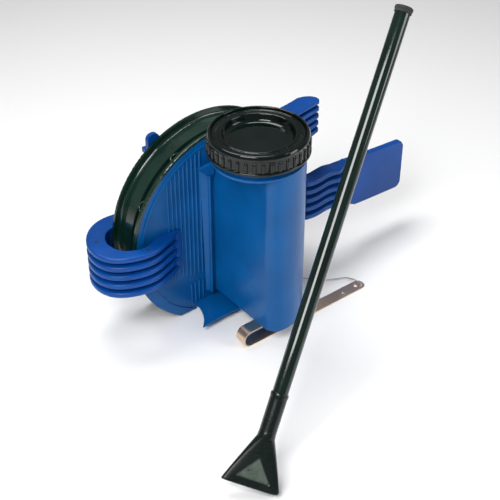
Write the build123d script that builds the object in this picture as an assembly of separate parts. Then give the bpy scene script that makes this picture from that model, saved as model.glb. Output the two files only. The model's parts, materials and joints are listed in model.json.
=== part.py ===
"""Portable pool cleaner: debris canister, pump drum with strap harness, and a separate suction wand.

Frame: origin at the centre of the canister's base face, +Z up, +Y from the canister towards the pump
drum behind it, X along the drum's width. Millimetres.
"""
from build123d import *
from math import cos, radians, sin, sqrt
import os

# ---- driving dimensions -------------------------------------------------------------------------
floor_z = -40.0            # what the cleaner stands on

# canister (D-shaped in plan: round front and right, flat left wall)
can_r = 99.0
can_wall = 4.0
can_flat_x = -36.0
can_back_y = 110.0
can_corner_r = 30.0
deck_z = 391.0             # underside of the top deck
deck_t = 5.0
base_t = 6.0
neck_r = 92.0
neck_wall = 4.0
neck_top_z = 436.0

# lid
ring_r = 104.0             # root radius of the knurls
knurl_r = 4.0
knurl_count = 38
ring_z = 411.0
ring_top_z = 454.0
ring_hole_r = 97.0
disc_r = 99.5
disc_t = 7.0
dish_r = 74.0
dish_depth = 16.0
gasket_t = 3.0
lid_gap = 0.3

# strainer basket
basket_r = 82.0
basket_wall = 2.5
basket_floor_z = 150.0
basket_gap = 6.0           # to the canister's flat wall
slot_columns = 20
slot_rows = 4
bail_r = 2.5

# pump drum (axis along Y)
drum_z = 168.0
rim_r = 240.0
rim_width = 88.0
drum_y = 118.0
lip_t = 8.0
trough_r = 225.0
pocket_r = 213.0
rim_inner_r = 205.0
foot_drop = 204.0          # drum centre down to the flat foot of the rim
cover_t = 5.0
rebate_r = 234.0
cover_gap = 0.3
lug_count = 12
lug_r = 13.0
lug_wall = 3.0
seal_t = 2.0

# ribs, spine and shelf of the front cover
rib_pitch = 10.5
rib_count = 9
rib_w = 4.5
rib_t = 2.5
rib_first_x = -151.0
spine_x = -46.0
spine_w = 6.0
spine_depth = 12.0
spine_top_z = 335.0
shelf_top_z = -20.0
shelf_t = 4.0
shelf_front_y = 39.0
shelf_spike_x = -125.0

# straps
strap_h = 104.0
fin_count = 5
fin_t = 13.0
web_t = 8.0
left_top_z = 203.0
loop_x = -222.0
loop_y = 158.0
loop_r = 94.0
loop_hole_r = 52.0
loop_front_r = 79.0        # the loop is flatter in front of the rim
left_tab = 98.0            # from the loop's centre to the end of its tab
right_top_z = 203.0
right_root_x = 236.0
right_hinge_x = 292.0
right_tip_x = 531.0
paddle_h = 130.0
paddle_t = 16.0
paddle_top_z = 188.0
fin_depth = 38.0
upper_top_z = 358.0
upper_h = 84.0
upper_fin_t = 10.5
tip_x = -118.0             # upper left strap
tip_w = 30.0
tip_top_z = 392.0

# pump and motor
port_r = 16.0
pipe_wall = 3.0
volute_r = 72.0
volute_depth = 34.0
volute_y = 134.0
impeller_r = 62.0
vane_count = 6
shaft_r = 5.0
shaft_fit = 0.05
motor_r = 40.0
motor_y = 174.0
motor_length = 66.0
bearing_r = 13.0
bearing_t = 8.0

# steel strip under the canister
strip_w = 30.0
strip_t = 2.0
strip_y = -47.0
strip_tip_x = 278.0
strip_bend_x = -85.0
strip_upper_x = 70.0       # end of the leg under the canister
shelf_right_x = can_r - 9
wire_r = 1.6

# suction wand
wand_r = 15.5
wand_wall = 2.0
wand_length = 812.0
wand_lean = 50.0           # above the floor
wand_heading = 23.5        # from +X towards +Y
wand_foot = (-329.0, -393.0)
socket_r = 17.0
socket_length = 86.0
nozzle_w = 116.0
nozzle_h = 100.0
nozzle_t = 20.0
nozzle_lift = 20.0         # mouth centre above the floor, with the lower corner on it


# ---- shared frames and helpers ------------------------------------------------------------------
drum = Plane(origin=(0, drum_y, drum_z), x_dir=(1, 0, 0), z_dir=(0, 1, 0))   # local z is world +Y


def ring(outer, inner, height):
    """A tube standing on the XY plane."""
    return extrude(Circle(outer) - Circle(inner), height)


def box_between(low, high):
    """A box given by its lowest and highest corners."""
    size = [h - l for l, h in zip(low, high)]
    centre = [(l + h) / 2 for l, h in zip(low, high)]
    return Pos(*centre) * Box(*size)


def along_y(x, z, y):
    """A frame at (x, y, z) whose local z points along world +Y."""
    return Plane(origin=(x, y, z), x_dir=(1, 0, 0), z_dir=(0, 1, 0))


def flat_disc(radius, drop):
    """A drum section: a circle cut flat, drop below its centre (local +y is down)."""
    cut = Pos(0, drop + radius / 2) * Rectangle(2.2 * radius, radius)
    return Circle(radius) - cut


def canister_plan(inset):
    """The canister's D-shaped outline, moved in by inset."""
    radius = can_r - inset
    left = can_flat_x + inset
    back = can_back_y - inset
    plan = Circle(radius) + Pos((left + radius) / 2, back / 2) * Rectangle(radius - left, back)
    plan -= Pos(0, back + can_r) * Rectangle(4 * can_r, 2 * can_r)
    return plan - Pos(left - can_r, 0) * Rectangle(2 * can_r, 4 * can_r)


def front_left_edge(solid):
    """The upright edge where the flat wall meets the round front."""
    upright = solid.edges().filter_by(Axis.Z)
    return upright.sort_by(Axis.Y)[0]


def screw(head_r, head_t, shank_r, length):
    """Pan-head screw along local z: head from 0 to head_t, shank below 0, cross recess on top."""
    body = extrude(Circle(head_r), head_t)
    body = fillet(body.edges().sort_by(Axis.Z)[-1], head_t * 0.45)
    body += Pos(0, 0, -length) * extrude(Circle(shank_r), length)
    for turn in (0, 90):
        body -= Pos(0, 0, head_t) * Rot(0, 0, turn) * Box(head_r * 1.1, head_r * 0.24, head_t)
    return body


def comb(plan, web, top_z, height=strap_h, thickness=fin_t):
    """A finned strap section: thin level fins of one plan, joined by a web."""
    pitch = (height - thickness) / (fin_count - 1)
    low = top_z - height
    solid = Pos(0, 0, low) * extrude(web, height)
    for level in range(fin_count):
        solid += Pos(0, 0, low + level * pitch) * extrude(plan, thickness)
    return solid


def round_bar(path, radius):
    """A round bar swept along a path."""
    return sweep(Plane(origin=path @ 0, z_dir=path % 0) * Circle(radius), path)


def drum_envelope(margin):
    """The space that the drum fills, grown by margin."""
    width = rim_width + 2 * margin
    return drum * Pos(0, 0, -margin) * extrude(Circle(rim_r + margin), width)


# ---- canister -----------------------------------------------------------------------------------
def canister_body():
    """The canister's whole wall, base, deck and round threaded neck, before it is parted into its mouldings."""
    shell = extrude(canister_plan(0), deck_z + deck_t)
    shell = fillet(front_left_edge(shell), can_corner_r)
    room = Pos(0, 0, base_t) * extrude(canister_plan(can_wall), deck_z - base_t)
    room = fillet(front_left_edge(room), can_corner_r - can_wall)
    shell -= room
    shell += Pos(0, 0, deck_z) * extrude(Circle(can_r) - canister_plan(can_wall), deck_t)
    mouth = Circle(basket_r + basket_wall) & canister_plan(can_wall)
    shell -= Pos(0, 0, deck_z - 1) * extrude(mouth, deck_t + 2)
    neck_foot = deck_z + deck_t
    shell += Pos(0, 0, neck_foot) * ring(neck_r, neck_r - neck_wall, neck_top_z - neck_foot)
    for turn in range(3):
        bead = Torus(neck_r, 1.4)
        shell += Pos(0, 0, neck_foot + 20 + 6 * turn) * bead
    back_port = along_y(0, drum_z, can_back_y - 2 * can_wall) * extrude(Circle(port_r + pipe_wall), 4 * can_wall)
    side_port = inlet_frame() * Pos(0, 0, -2 * can_wall) * extrude(Circle(port_r + 1), 4 * can_wall)
    holes = [spot * Cylinder(1.65, 20) for spot in inlet_screw_spots()]
    holes += [spot * Cylinder(2.05, 16) for spot in canister_screw_spots()]
    holes += [Pos(x, strip_y, 0) * Cylinder(2.45, 2 * base_t) for x in strip_rivet_xs()]
    return shell - back_port - side_port - holes


def canister_slab(low, high):
    """The part of the canister's body between two heights."""
    side = 2 * can_r
    return canister_body() & box_between((-side, -side, low), (side, side, high))


def make_canister():
    """The canister's upright wall."""
    return canister_slab(base_t, deck_z)


def make_canister_base():
    """Bottom plate, welded under the wall."""
    return canister_slab(-base_t, base_t)


def make_canister_neck():
    """Deck plate and threaded neck, welded on top of the wall."""
    return canister_slab(deck_z, neck_top_z + base_t)


def inlet_frame():
    """Where the hose spigot leaves the canister's right wall, local z pointing out."""
    return Plane(origin=(can_r, 62, 330), x_dir=(0, 1, 0), z_dir=(1, 0, 0))


def make_inlet_port():
    """Flanged hose spigot with two grip beads."""
    spigot = ring(port_r + pipe_wall, port_r, 46) + ring(30, port_r, 5)
    for height in (24, 36):
        spigot += Pos(0, 0, height) * (Torus(port_r + pipe_wall, 1.5) - Cylinder(port_r + 1, 8))
    return inlet_frame() * spigot - [spot * Cylinder(1.65, 20) for spot in inlet_screw_spots()]


def inlet_screw_spots():
    """Frames of the inlet flange's screws, local z out of the head."""
    return [inlet_frame() * Pos(0, 0, 5) * spot for spot in PolarLocations(25, 4, 45)]


def make_inlet_screws():
    """Four screws through the inlet flange."""
    one = screw(3.4, 2.4, 1.6, 7)
    return [spot * one for spot in inlet_screw_spots()]


def canister_screw_spots():
    """Frames of the screws in the canister's back wall, local z out of the head."""
    inside = can_back_y - can_wall
    return [Plane(origin=(x, inside, z), x_dir=(1, 0, 0), z_dir=(0, -1, 0)) for x in (-18, 76) for z in (70, 300)]


def make_canister_screws():
    """Four screws from the canister's back wall into the spine plate."""
    one = screw(4.0, 2.5, 2.0, 10)
    return [spot * one for spot in canister_screw_spots()]


# ---- lid ----------------------------------------------------------------------------------------
def make_lid_ring():
    """Knurled screw ring; the disc is snapped into the groove under its top lip."""
    height = ring_top_z - ring_z
    body = extrude(Circle(ring_r), height)
    body = chamfer(body.edges().sort_by(Axis.Z)[-1], 5, 7)
    seat = neck_top_z + gasket_t - ring_z
    body -= extrude(Circle(neck_r + 2.2), seat)
    body -= Pos(0, 0, seat - lid_gap) * extrude(Circle(disc_r + lid_gap), disc_t + 2 * lid_gap)
    body -= Pos(0, 0, seat) * extrude(Circle(ring_hole_r), height)
    knurl = extrude(Circle(knurl_r), height - 14) + Pos(0, 0, height - 14) * Sphere(knurl_r)
    for spot in PolarLocations(ring_r - 0.2, knurl_count):
        body += spot * Pos(0, 0, 4) * knurl
    body += ring(ring_r + knurl_r, ring_r - 2, 4)
    return Pos(0, 0, ring_z) * body


def make_lid_disc():
    """Dished closing plate with a marker band around the dish."""
    seat = neck_top_z + gasket_t
    plate = extrude(Circle(disc_r), disc_t)
    raised = extrude(Circle(ring_hole_r - 2), disc_t + 3)
    plate += fillet(raised.edges().sort_by(Axis.Z)[-1], 2)
    plate += Pos(0, 0, disc_t - dish_depth) * extrude(Circle(dish_r + 3), dish_depth)
    plate -= Pos(0, 0, disc_t - dish_depth + 3) * extrude(Circle(dish_r), dish_depth + 3)
    return Pos(0, 0, seat) * plate


def make_lid_gasket():
    """Flat rubber ring between the neck and the disc."""
    return Pos(0, 0, neck_top_z) * ring(neck_r - 0.5, neck_r - neck_wall - 2, gasket_t)


# ---- strainer basket ----------------------------------------------------------------------------
def basket_plan(inset):
    """The basket's outline: a circle cut flat beside the canister's flat wall."""
    left = can_flat_x + can_wall + basket_gap + inset
    radius = basket_r - inset
    return Circle(radius) - Pos(left - basket_r, 0) * Rectangle(2 * basket_r, 4 * basket_r)


def make_basket():
    """Slotted strainer with a rim that hangs on the canister's deck."""
    top = deck_z + deck_t + lid_gap
    height = top - basket_floor_z
    wall = extrude(basket_plan(0), height)
    wall -= Pos(0, 0, basket_wall) * extrude(basket_plan(basket_wall), height)
    slot_h = (height - 60) / slot_rows - 14
    for row in range(slot_rows):
        z = 24 + row * (slot_h + 14) + slot_h / 2
        for spot in PolarLocations(basket_r, slot_columns, 9):
            wall -= Pos(0, 0, z) * spot * Box(12, 7, slot_h)
    for spot in GridLocations(16, 16, 5, 8):
        wall -= Pos(26, 0, 0) * spot * Cylinder(4, 4 * basket_wall)
    skin = extrude(basket_plan(0) - basket_plan(basket_wall), height)
    frame = inlet_frame() * Pos(0, 0, -60) * Box(2 * port_r + 24, 2 * port_r + 24, 70)
    wall += skin & (Pos(0, 0, -basket_floor_z) * frame)
    rim = extrude(Circle(neck_r - neck_wall - 1) - basket_plan(basket_wall), 4)
    wall += Pos(0, 0, height) * rim
    window = inlet_frame() * Pos(0, 0, -60) * Box(2 * port_r + 8, 2 * port_r + 8, 70)
    ears = [Pos(0, side * (bail_reach() - 2), height + 6) * Box(10, 4, 12) for side in (-1, 1)]
    pin_hole = Pos(0, 0, height + 8) * Rot(90, 0, 0) * Cylinder(bail_r + 0.05, 4 * basket_r)
    basket = wall + ears - pin_hole
    return Pos(0, 0, basket_floor_z) * basket - window


def bail_z():
    """Height of the bail's pivot line."""
    return deck_z + deck_t + lid_gap + 8


def bail_reach():
    """Distance of the bail's ends from the canister's axis."""
    return neck_r - neck_wall - 2


def make_bail():
    """Wire bail folded level inside the neck, pivoting on a line along Y."""
    reach = bail_reach()
    inner = reach - 8
    path = FilletPolyline((0, -reach, 0), (0, -inner + 4, 0), (-44, -inner + 16, 0),
                          (-44, inner - 16, 0), (0, inner - 4, 0), (0, reach, 0), radius=4)
    return Pos(0, 0, bail_z()) * round_bar(path, bail_r)


# ---- pump drum ----------------------------------------------------------------------------------
def lug_spots():
    """Angles round the rim where the screw wells stand."""
    return [360 / lug_count * index for index in range(lug_count)]


def above_foot(angle):
    """True where the rim at this local angle stands clear of the flat foot."""
    return rim_r * sin(radians(angle)) < foot_drop - 2 * lug_r


def make_rim_channel():
    """Black channel rim: two lips, a trough with pockets, and a U-shaped well at each screw."""
    bore = flat_disc(rim_inner_r, foot_drop - 6)
    body = extrude(flat_disc(rim_r, foot_drop) - bore, rim_width)
    lips = body.edges().filter_by(GeomType.CIRCLE).sort_by(lambda e: -e.radius)[:2]
    body = fillet(lips, 2.5)
    trough = ring(rim_r + 5, trough_r, rim_width - 2 * lip_t)
    corners = trough.edges().filter_by(GeomType.CIRCLE).sort_by(lambda e: e.radius)[:2]
    trough = fillet(corners, 6)
    body -= Pos(0, 0, lip_t) * trough
    pocket_depth = 27
    body -= Pos(0, 0, lip_t) * ring(trough_r + 1, pocket_r, pocket_depth)
    at = Plane(origin=(pocket_r - 2, 0, lip_t), x_dir=(0, 1, 0), z_dir=(1, 0, 0))
    height = rim_r - pocket_r - 2
    front_half = Pos(0, -lug_r) * Rectangle(4 * lug_r, 2 * lug_r)
    well = at * extrude(Circle(lug_r) - front_half, height)
    hollow = at * Pos(0, 0, 3) * extrude(Circle(lug_r - lug_wall) - front_half, height)
    for angle in lug_spots():
        if above_foot(angle):
            body += Rot(0, 0, angle) * well
            body -= Rot(0, 0, angle) * hollow
    rebate = extrude(Circle(rebate_r), cover_t)
    body -= rebate
    body -= Pos(0, 0, rim_width - cover_t) * rebate
    body = body - screw_bores()
    for local_z in (cover_t, rim_width - cover_t - seal_t):
        body -= Pos(0, 0, local_z) * seal_cord()
    body = drum * body
    return body - [spot * Cylinder(2.25, 40) for spot in strap_screw_spots()]


def screw_ring_r():
    """Pitch radius of the cover screws."""
    return (pocket_r + trough_r) / 2


def screw_bores():
    """Bores for the cover screws through the lips, front and rear."""
    bores = []
    for angle in lug_spots():
        if above_foot(angle):
            bores.append(Rot(0, 0, angle) * Pos(screw_ring_r(), 0, rim_width / 2) * Cylinder(2.2, rim_width + 4))
    return bores


def make_rim_screws():
    """Screws in the wells that pull the front cover against the rim."""
    one = screw(4.2, 2.6, 2.1, 6.8)
    return [drum * Rot(0, 0, angle) * Pos(screw_ring_r(), 0, lip_t) * one
            for angle in lug_spots() if above_foot(angle)]


def rear_screw_spots():
    """Frames of the rear cover's screws, local z out of the head."""
    return [drum * Rot(0, 0, angle) * Pos(screw_ring_r(), 0, rim_width) for angle in lug_spots() if above_foot(angle)]


def make_rear_screws():
    """Screws through the rear cover into the rim."""
    one = screw(4.2, 2.6, 2.1, 14)
    return [spot * one for spot in rear_screw_spots()]


def cover_plate():
    """The disc that closes one side of the rim."""
    plate = extrude(flat_disc(rebate_r - cover_gap, foot_drop), cover_t)
    return plate - screw_bores()


def rib_top_z(x):
    """Height at which a rib at x meets the cover's edge."""
    return drum_z + sqrt((rebate_r - 14) ** 2 - x ** 2)


def make_front_cover():
    """Blue ribbed cover with its lower apron and the foot shelf."""
    cover = drum * cover_plate()
    apron = Circle(rim_r + 2) & Pos(-rim_r / 2 - 60, rim_r / 2 + 20) * Rectangle(rim_r, rim_r)
    apron = apron & flat_disc(rim_r + 4, foot_drop)
    apron -= Circle(rebate_r - 12)
    cover += drum * Pos(0, 0, -3) * extrude(apron, 3)
    cover += drum * Pos(0, 0, -3) * extrude((Circle(rebate_r - 11) - Circle(rebate_r - 16)) & flat_disc(rim_r, 150), 3.2)
    for index in range(rib_count):
        x = rib_first_x + index * rib_pitch
        top = rib_top_z(x)
        low = 74 - 2 * index
        rib = box_between((x, drum_y - rib_t, low), (x + rib_w, drum_y + 1, top))
        cover += fillet(rib.edges().filter_by(Axis.Z).sort_by(Axis.Y)[:2], rib_w * 0.45)
    for index in range(5, rib_count):
        x = rib_first_x + index * rib_pitch
        rib = box_between((x, drum_y - rib_t, -18), (x + rib_w, drum_y + 1, 38))
        cover += fillet(rib.edges().filter_by(Axis.Z).sort_by(Axis.Y)[:2], rib_w * 0.45)
    for low_x, high_x in ((loop_x - loop_r - 5, loop_x + left_tab + cover_gap), (150, rim_r + 10)):
        low_z = left_top_z - strap_h - cover_gap
        cover -= box_between((low_x, 60, low_z), (high_x, drum_y, left_top_z + cover_gap))
    cover += make_shelf()
    cover -= along_y(0, drum_z, drum_y - 1) * extrude(Circle(port_r + pipe_wall + cover_gap), cover_t + 2)
    return cover - [spot * Cylinder(2.25, 40) for spot in strap_screw_spots()]


def make_shelf():
    """Foot shelf in front of the drum, with the hooked left corner."""
    z = shelf_top_z - shelf_t
    back = drum_y + 1
    right = shelf_right_x
    outline = Polyline((spine_x - 42, back), (right, back), (right, shelf_front_y), (-24, shelf_front_y),
                       (-60, shelf_front_y + 1), (shelf_spike_x, shelf_front_y - 2))
    hook = ThreePointArc((shelf_spike_x, shelf_front_y - 2), (spine_x - 51, 78), (spine_x - 42, back))
    plan = make_face(outline.edges() + [hook])
    shelf = Pos(0, 0, z) * extrude(plan, shelf_t)
    for x in (-20, 30, 80):
        web = box_between((x, 60, shelf_top_z - 0.5), (x + 5, back, -0.3))
        shelf += web
    return shelf


def make_spine():
    """Bracket plate between the drum and the canister, with the tapered cheek on its left."""
    gap_y = can_back_y + cover_gap
    plate = box_between((spine_x, gap_y, 10), (can_r - 14, drum_y - cover_gap, spine_top_z - 10))
    rail = box_between((spine_x - spine_w, drum_y - spine_depth - 4, 0), (spine_x, drum_y - cover_gap, spine_top_z))
    rail = fillet(rail.edges().filter_by(Axis.Z).sort_by(Axis.Y)[:2], 2.5)
    face = drum_y - cover_gap - rib_t
    foot = Plane.XY.offset(2) * make_face(Polyline(
        (spine_x - 12, face), (spine_x - 2, face), (spine_x - 2, face - 7), (spine_x - 5, face - 7), close=True).edges())
    head = Plane.XY.offset(spine_top_z - 12) * make_face(Polyline(
        (spine_x - 20, face), (spine_x - 2, face), (spine_x - 2, face - 9), (spine_x - 5, face - 9), close=True).edges())
    cheek = loft([foot, head])
    ear = make_face(Polyline((spine_x - 36, 0), (spine_x + 4, 4), (spine_x + 4, -26), (spine_x - 16, -22),
                             close=True).edges())
    ear_frame = Plane(origin=(0, face - 12, spine_top_z + 8), x_dir=(1, 0, 0), z_dir=(0, -1, 0))
    ear = ear_frame * extrude(ear, 6)
    hole = along_y(0, drum_z, gap_y - 1) * extrude(Circle(port_r + pipe_wall + cover_gap), 12)
    holes = [spot * Pos(0, 0, -6) * Cylinder(2.05, 12) for spot in canister_screw_spots()]
    return plate + rail + cheek + ear - hole - holes


def make_rear_cover():
    """Rear cover with stiffening ribs, the motor dome and a vent field."""
    local = Pos(0, 0, rim_width - cover_t) * cover_plate()
    dome_h = motor_y + motor_length + 12 - (drum_y + rim_width)
    dome = Pos(0, 0, rim_width - 1) * extrude(Circle(motor_r + 12), dome_h)
    dome = fillet(dome.edges().sort_by(Axis.Z)[-1], 9)
    local += dome
    for angle in range(30, 390, 60):
        rib = Pos((motor_r + 8 + rebate_r - 40) / 2, 0, rim_width + 2) * Box(rebate_r - 48 - motor_r, 5, 6)
        local += Rot(0, 0, angle) * rib
    local -= Pos(0, 0, rim_width - cover_t - 1) * extrude(Circle(motor_r + 8), dome_h + 1)
    for angle in range(0, 360, 30):
        local -= Rot(0, 0, angle) * Pos(motor_r - 8, 0, rim_width + dome_h) * Cylinder(3, 14)
    local -= outlet_bore()
    rear = drum_y + rim_width
    tab_room = box_between((loop_x + 38, rear, left_top_z - strap_h - 2), (loop_x + left_tab + 2, rear + 8, left_top_z + 2))
    return drum * local - tab_room - [spot * Cylinder(2.25, 40) for spot in strap_screw_spots()]


def outlet_bore():
    """Hole in the rear cover for the outlet pipe."""
    return Pos(0, outlet_drop(), rim_width) * Cylinder(port_r + pipe_wall + cover_gap, 4 * cover_t)


def outlet_drop():
    """Distance of the outlet pipe below the drum's centre."""
    return 136.0


def seal_cord():
    """Seal between a cover and its groove in the rim."""
    cord = flat_disc(rim_inner_r + 4.5, foot_drop - 1.5) - flat_disc(rim_inner_r + 1.5, foot_drop - 4.5)
    return extrude(cord, seal_t)


def make_cover_seal(local_z):
    """One cover's seal, in its place."""
    return drum * Pos(0, 0, local_z) * seal_cord()


def make_foot_pads():
    """Rubber pads under the rim's flat foot."""
    top = drum_z - foot_drop
    pads = []
    for x in (-78, 78):
        pad = box_between((x - 22, drum_y + 12, floor_z), (x + 22, drum_y + rim_width - 12, top))
        pads.append(fillet(pad.edges().filter_by(Axis.Z), 8))
    return pads


# ---- pump and motor -----------------------------------------------------------------------------
def make_suction_pipe():
    """Short pipe from the canister's back port to the eye of the pump."""
    start = can_back_y - can_wall - 3
    body = ring(port_r + pipe_wall - 0.2, port_r, volute_y - start) + ring(port_r + 7, port_r, 3)
    return along_y(0, drum_z, start) * body


def make_volute():
    """Pump casing: a round chamber with its eye in front and the outlet elbow below."""
    chamber = extrude(Circle(volute_r), volute_depth)
    chamber -= Pos(0, 0, 3) * extrude(Circle(volute_r - 4), volute_depth)
    level = volute_depth - port_r - pipe_wall
    elbow_r = 24
    elbow_top = level + elbow_r + 2
    path = FilletPolyline((0, volute_r - 6, level), (0, outlet_drop(), level),
                          (0, outlet_drop(), elbow_top), radius=elbow_r)
    start = Plane(origin=path @ 0, z_dir=path % 0)
    outer = sweep(start * Circle(port_r + pipe_wall), path)
    inner = sweep(start * Circle(port_r), path)
    body = chamber + outer - inner
    straight = rim_width + drum_y + 30 - volute_y - elbow_top
    body += Pos(0, outlet_drop(), elbow_top) * ring(port_r + pipe_wall, port_r, straight)
    body -= Pos(0, 0, 3) * extrude(Circle(volute_r - 4), volute_depth)
    body -= Pos(0, 0, -1) * extrude(Circle(port_r), 6)
    return along_y(0, drum_z, volute_y) * body


def make_volute_cover():
    """Plate that closes the casing behind the impeller and holds the shaft seal."""
    plate = extrude(Circle(volute_r + 6), 4) - extrude(Circle(9), 4)
    plate += Pos(0, 0, -3) * ring(volute_r - 4.1, volute_r - 9, 3)
    for spot in PolarLocations(volute_r - 14, 6, 30):
        plate += spot * Pos(0, 0, 4) * extrude(Circle(4), 2)
    return along_y(0, drum_z, volute_y + volute_depth) * plate


def make_impeller():
    """Open impeller: back disc, hub and swept vanes."""
    disc = extrude(Circle(impeller_r), 3)
    hub = Pos(0, 0, -18) * extrude(Circle(11), 18)
    body = disc + hub
    for spot in PolarLocations(0, vane_count):
        vane = ThreePointArc((10, 0), (32, 12), (58, 14))
        vane = thicken_line(vane, 3)
        body += spot * Pos(0, 0, -15) * extrude(vane, 15.5)
    body -= Pos(0, 0, -20) * extrude(Circle(shaft_r), 30)
    return along_y(0, drum_z, volute_y + volute_depth - 8) * body


def thicken_line(line, width):
    """A flat strip of the given width along a planar curve."""
    return offset(line, width / 2, kind=Kind.ARC, side=Side.BOTH)


def make_impeller_nut():
    """Dome nut that holds the impeller on the shaft."""
    nut = Pos(0, 0, -6) * extrude(RegularPolygon(8, 6), 6)
    nut += Pos(0, 0, -6) * (Sphere(6.2) & Pos(0, 0, -5) * Box(20, 20, 10))
    nut -= Pos(0, 0, -5) * extrude(Circle(shaft_r), 5)
    return along_y(0, drum_z, volute_y + volute_depth - 8 - 18) * nut


def make_motor_shaft():
    """Shaft from the impeller nut through both bearings."""
    start = volute_y + volute_depth - 8 - 18 - 5
    return along_y(0, drum_z, start) * extrude(Circle(shaft_r), motor_y + motor_length - 6 - start)


def make_rotor():
    """Wound rotor core on the shaft."""
    core = ring(24, shaft_r, 34)
    for spot in PolarLocations(22, 12):
        core -= spot * Box(8, 2.5, 80)
    return along_y(0, drum_z, motor_y + 17) * core


def make_stator():
    """Ring magnet pressed in the motor can."""
    return along_y(0, drum_z, motor_y + 16) * ring(motor_r - 3, 26, 36)


def make_motor_can():
    """Motor can with a bearing seat at each end."""
    can = extrude(Circle(motor_r), motor_length)
    can -= Pos(0, 0, 3) * extrude(Circle(motor_r - 3), motor_length - 6)
    for z in (3, motor_length - 3 - bearing_t):
        can += Pos(0, 0, z) * ring(bearing_r + 4, bearing_r, bearing_t)
    can -= Pos(0, 0, -1) * extrude(Circle(shaft_r + 3), motor_length - 1)
    return along_y(0, drum_z, motor_y) * can


def make_bearing(y):
    """Sealed ball bearing as one ring with its shield grooves."""
    body = ring(bearing_r, shaft_r + shaft_fit, bearing_t)
    for z in (0, bearing_t - 0.6):
        body -= Pos(0, 0, z) * ring(bearing_r - 2.5, shaft_r + 2, 0.6)
    return along_y(0, drum_z, y) * body


def make_shaft_seal():
    """Lip seal in the casing's cover plate."""
    return along_y(0, drum_z, volute_y + volute_depth) * ring(9, shaft_r + shaft_fit, 4)


def make_motor_bracket():
    """Ring that ties the motor can to the pump casing."""
    start = volute_y + volute_depth + 4
    body = ring(motor_r + 6, motor_r - 8, motor_y - start)
    body += Pos(0, 0, motor_y - start) * ring(motor_r + 6, motor_r, 14)
    for spot in PolarLocations(0, 4, 45):
        foot = spot * Pos(motor_r + 16, 0, 1.5) * Box(28, 14, 3)
        body += foot
    return along_y(0, drum_z, start) * body


def make_battery():
    """Sealed battery pack on the floor of the drum."""
    pack = box_between((-150, drum_y + 22, drum_z - 120), (-70, drum_y + rim_width - 22, drum_z - 62))
    return fillet(pack.edges(), 4)


def make_battery_tray():
    """Tray under the battery, fixed to the front cover."""
    low = drum_z - 124
    tray = box_between((-154, drum_y + cover_t, low), (-66, drum_y + rim_width - 18, low + 4))
    tray += box_between((-154, drum_y + rim_width - 21, low), (-66, drum_y + rim_width - 18, low + 20))
    return tray


# ---- straps -------------------------------------------------------------------------------------
def make_left_strap():
    """Finned strap closed round the rim's left edge, with a tab on each cover."""
    centre = Pos(loop_x, loop_y)
    rear_half = Pos(0, loop_r) * Rectangle(4 * loop_r, 2 * loop_r)
    outline = (Circle(loop_r) & rear_half) + (Ellipse(loop_r, loop_front_r) - rear_half)
    plan = centre * (outline - Circle(loop_hole_r))
    web = centre * (Circle(loop_hole_r + web_t) - Circle(loop_hole_r))
    body = comb(plan, web, left_top_z)
    body -= drum_envelope(cover_gap)
    inside = box_between((loop_x, drum_y - 1, 0), (0, drum_y + rim_width + 1, 400))
    body -= inside
    low = left_top_z - strap_h
    front_y = drum_y - cover_gap
    rear_y = drum_y + rim_width + cover_gap
    wedge = make_face(Polyline((loop_x + 50, front_y), (loop_x + 94, front_y), (loop_x + 84, front_y - 9),
                               (loop_x + 68, front_y - 20), (loop_x + 50, front_y - 27), close=True).edges())
    pitch = (strap_h - fin_t) / (fin_count - 1)
    for level in range(fin_count):
        body += Pos(0, 0, low + level * pitch) * extrude(wedge, fin_t)
    for near_y, far_y in ((front_y - web_t, front_y), (rear_y, rear_y + web_t)):
        body += box_between((loop_x + 40, near_y, low), (loop_x + left_tab, far_y, left_top_z))
    for x, y in ((loop_x + 2, loop_y - 66), (loop_x - 68, loop_y + 26)):
        body -= Pos(x, y, left_top_z) * Cylinder(2.6, 12)
    return body - [spot * Cylinder(2.25, 40) for spot in strap_screw_spots()]


def make_right_root():
    """Finned root of the right strap, on the front cover, up to its flex line."""
    front_y = drum_y - cover_gap
    low = right_top_z - strap_h
    web = Pos((150 + right_hinge_x - 6) / 2, front_y - web_t / 2) * Rectangle(right_hinge_x - 156, web_t)
    fin = make_face(Polyline((right_root_x - 60, front_y), (right_root_x - 34, front_y - fin_depth + 6),
                             (right_root_x - 20, front_y - fin_depth), (right_hinge_x - 12, front_y - fin_depth),
                             (right_hinge_x - 6, front_y - web_t), (right_hinge_x - 6, front_y),
                             close=True).edges())
    body = comb(fin, web, right_top_z)
    for side in (low + 26, right_top_z - 26):
        body += Pos(right_hinge_x, front_y - web_t / 2, side) * Cylinder(web_t / 2, 20)
        body += box_between((right_hinge_x - 7, front_y - web_t, side - 10), (right_hinge_x, front_y, side + 10))
    pin = Pos(right_hinge_x, front_y - web_t / 2, (low + right_top_z) / 2) * Cylinder(2.05, strap_h)
    return body - pin - [spot * Cylinder(2.25, 40) for spot in strap_screw_spots()]


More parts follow.
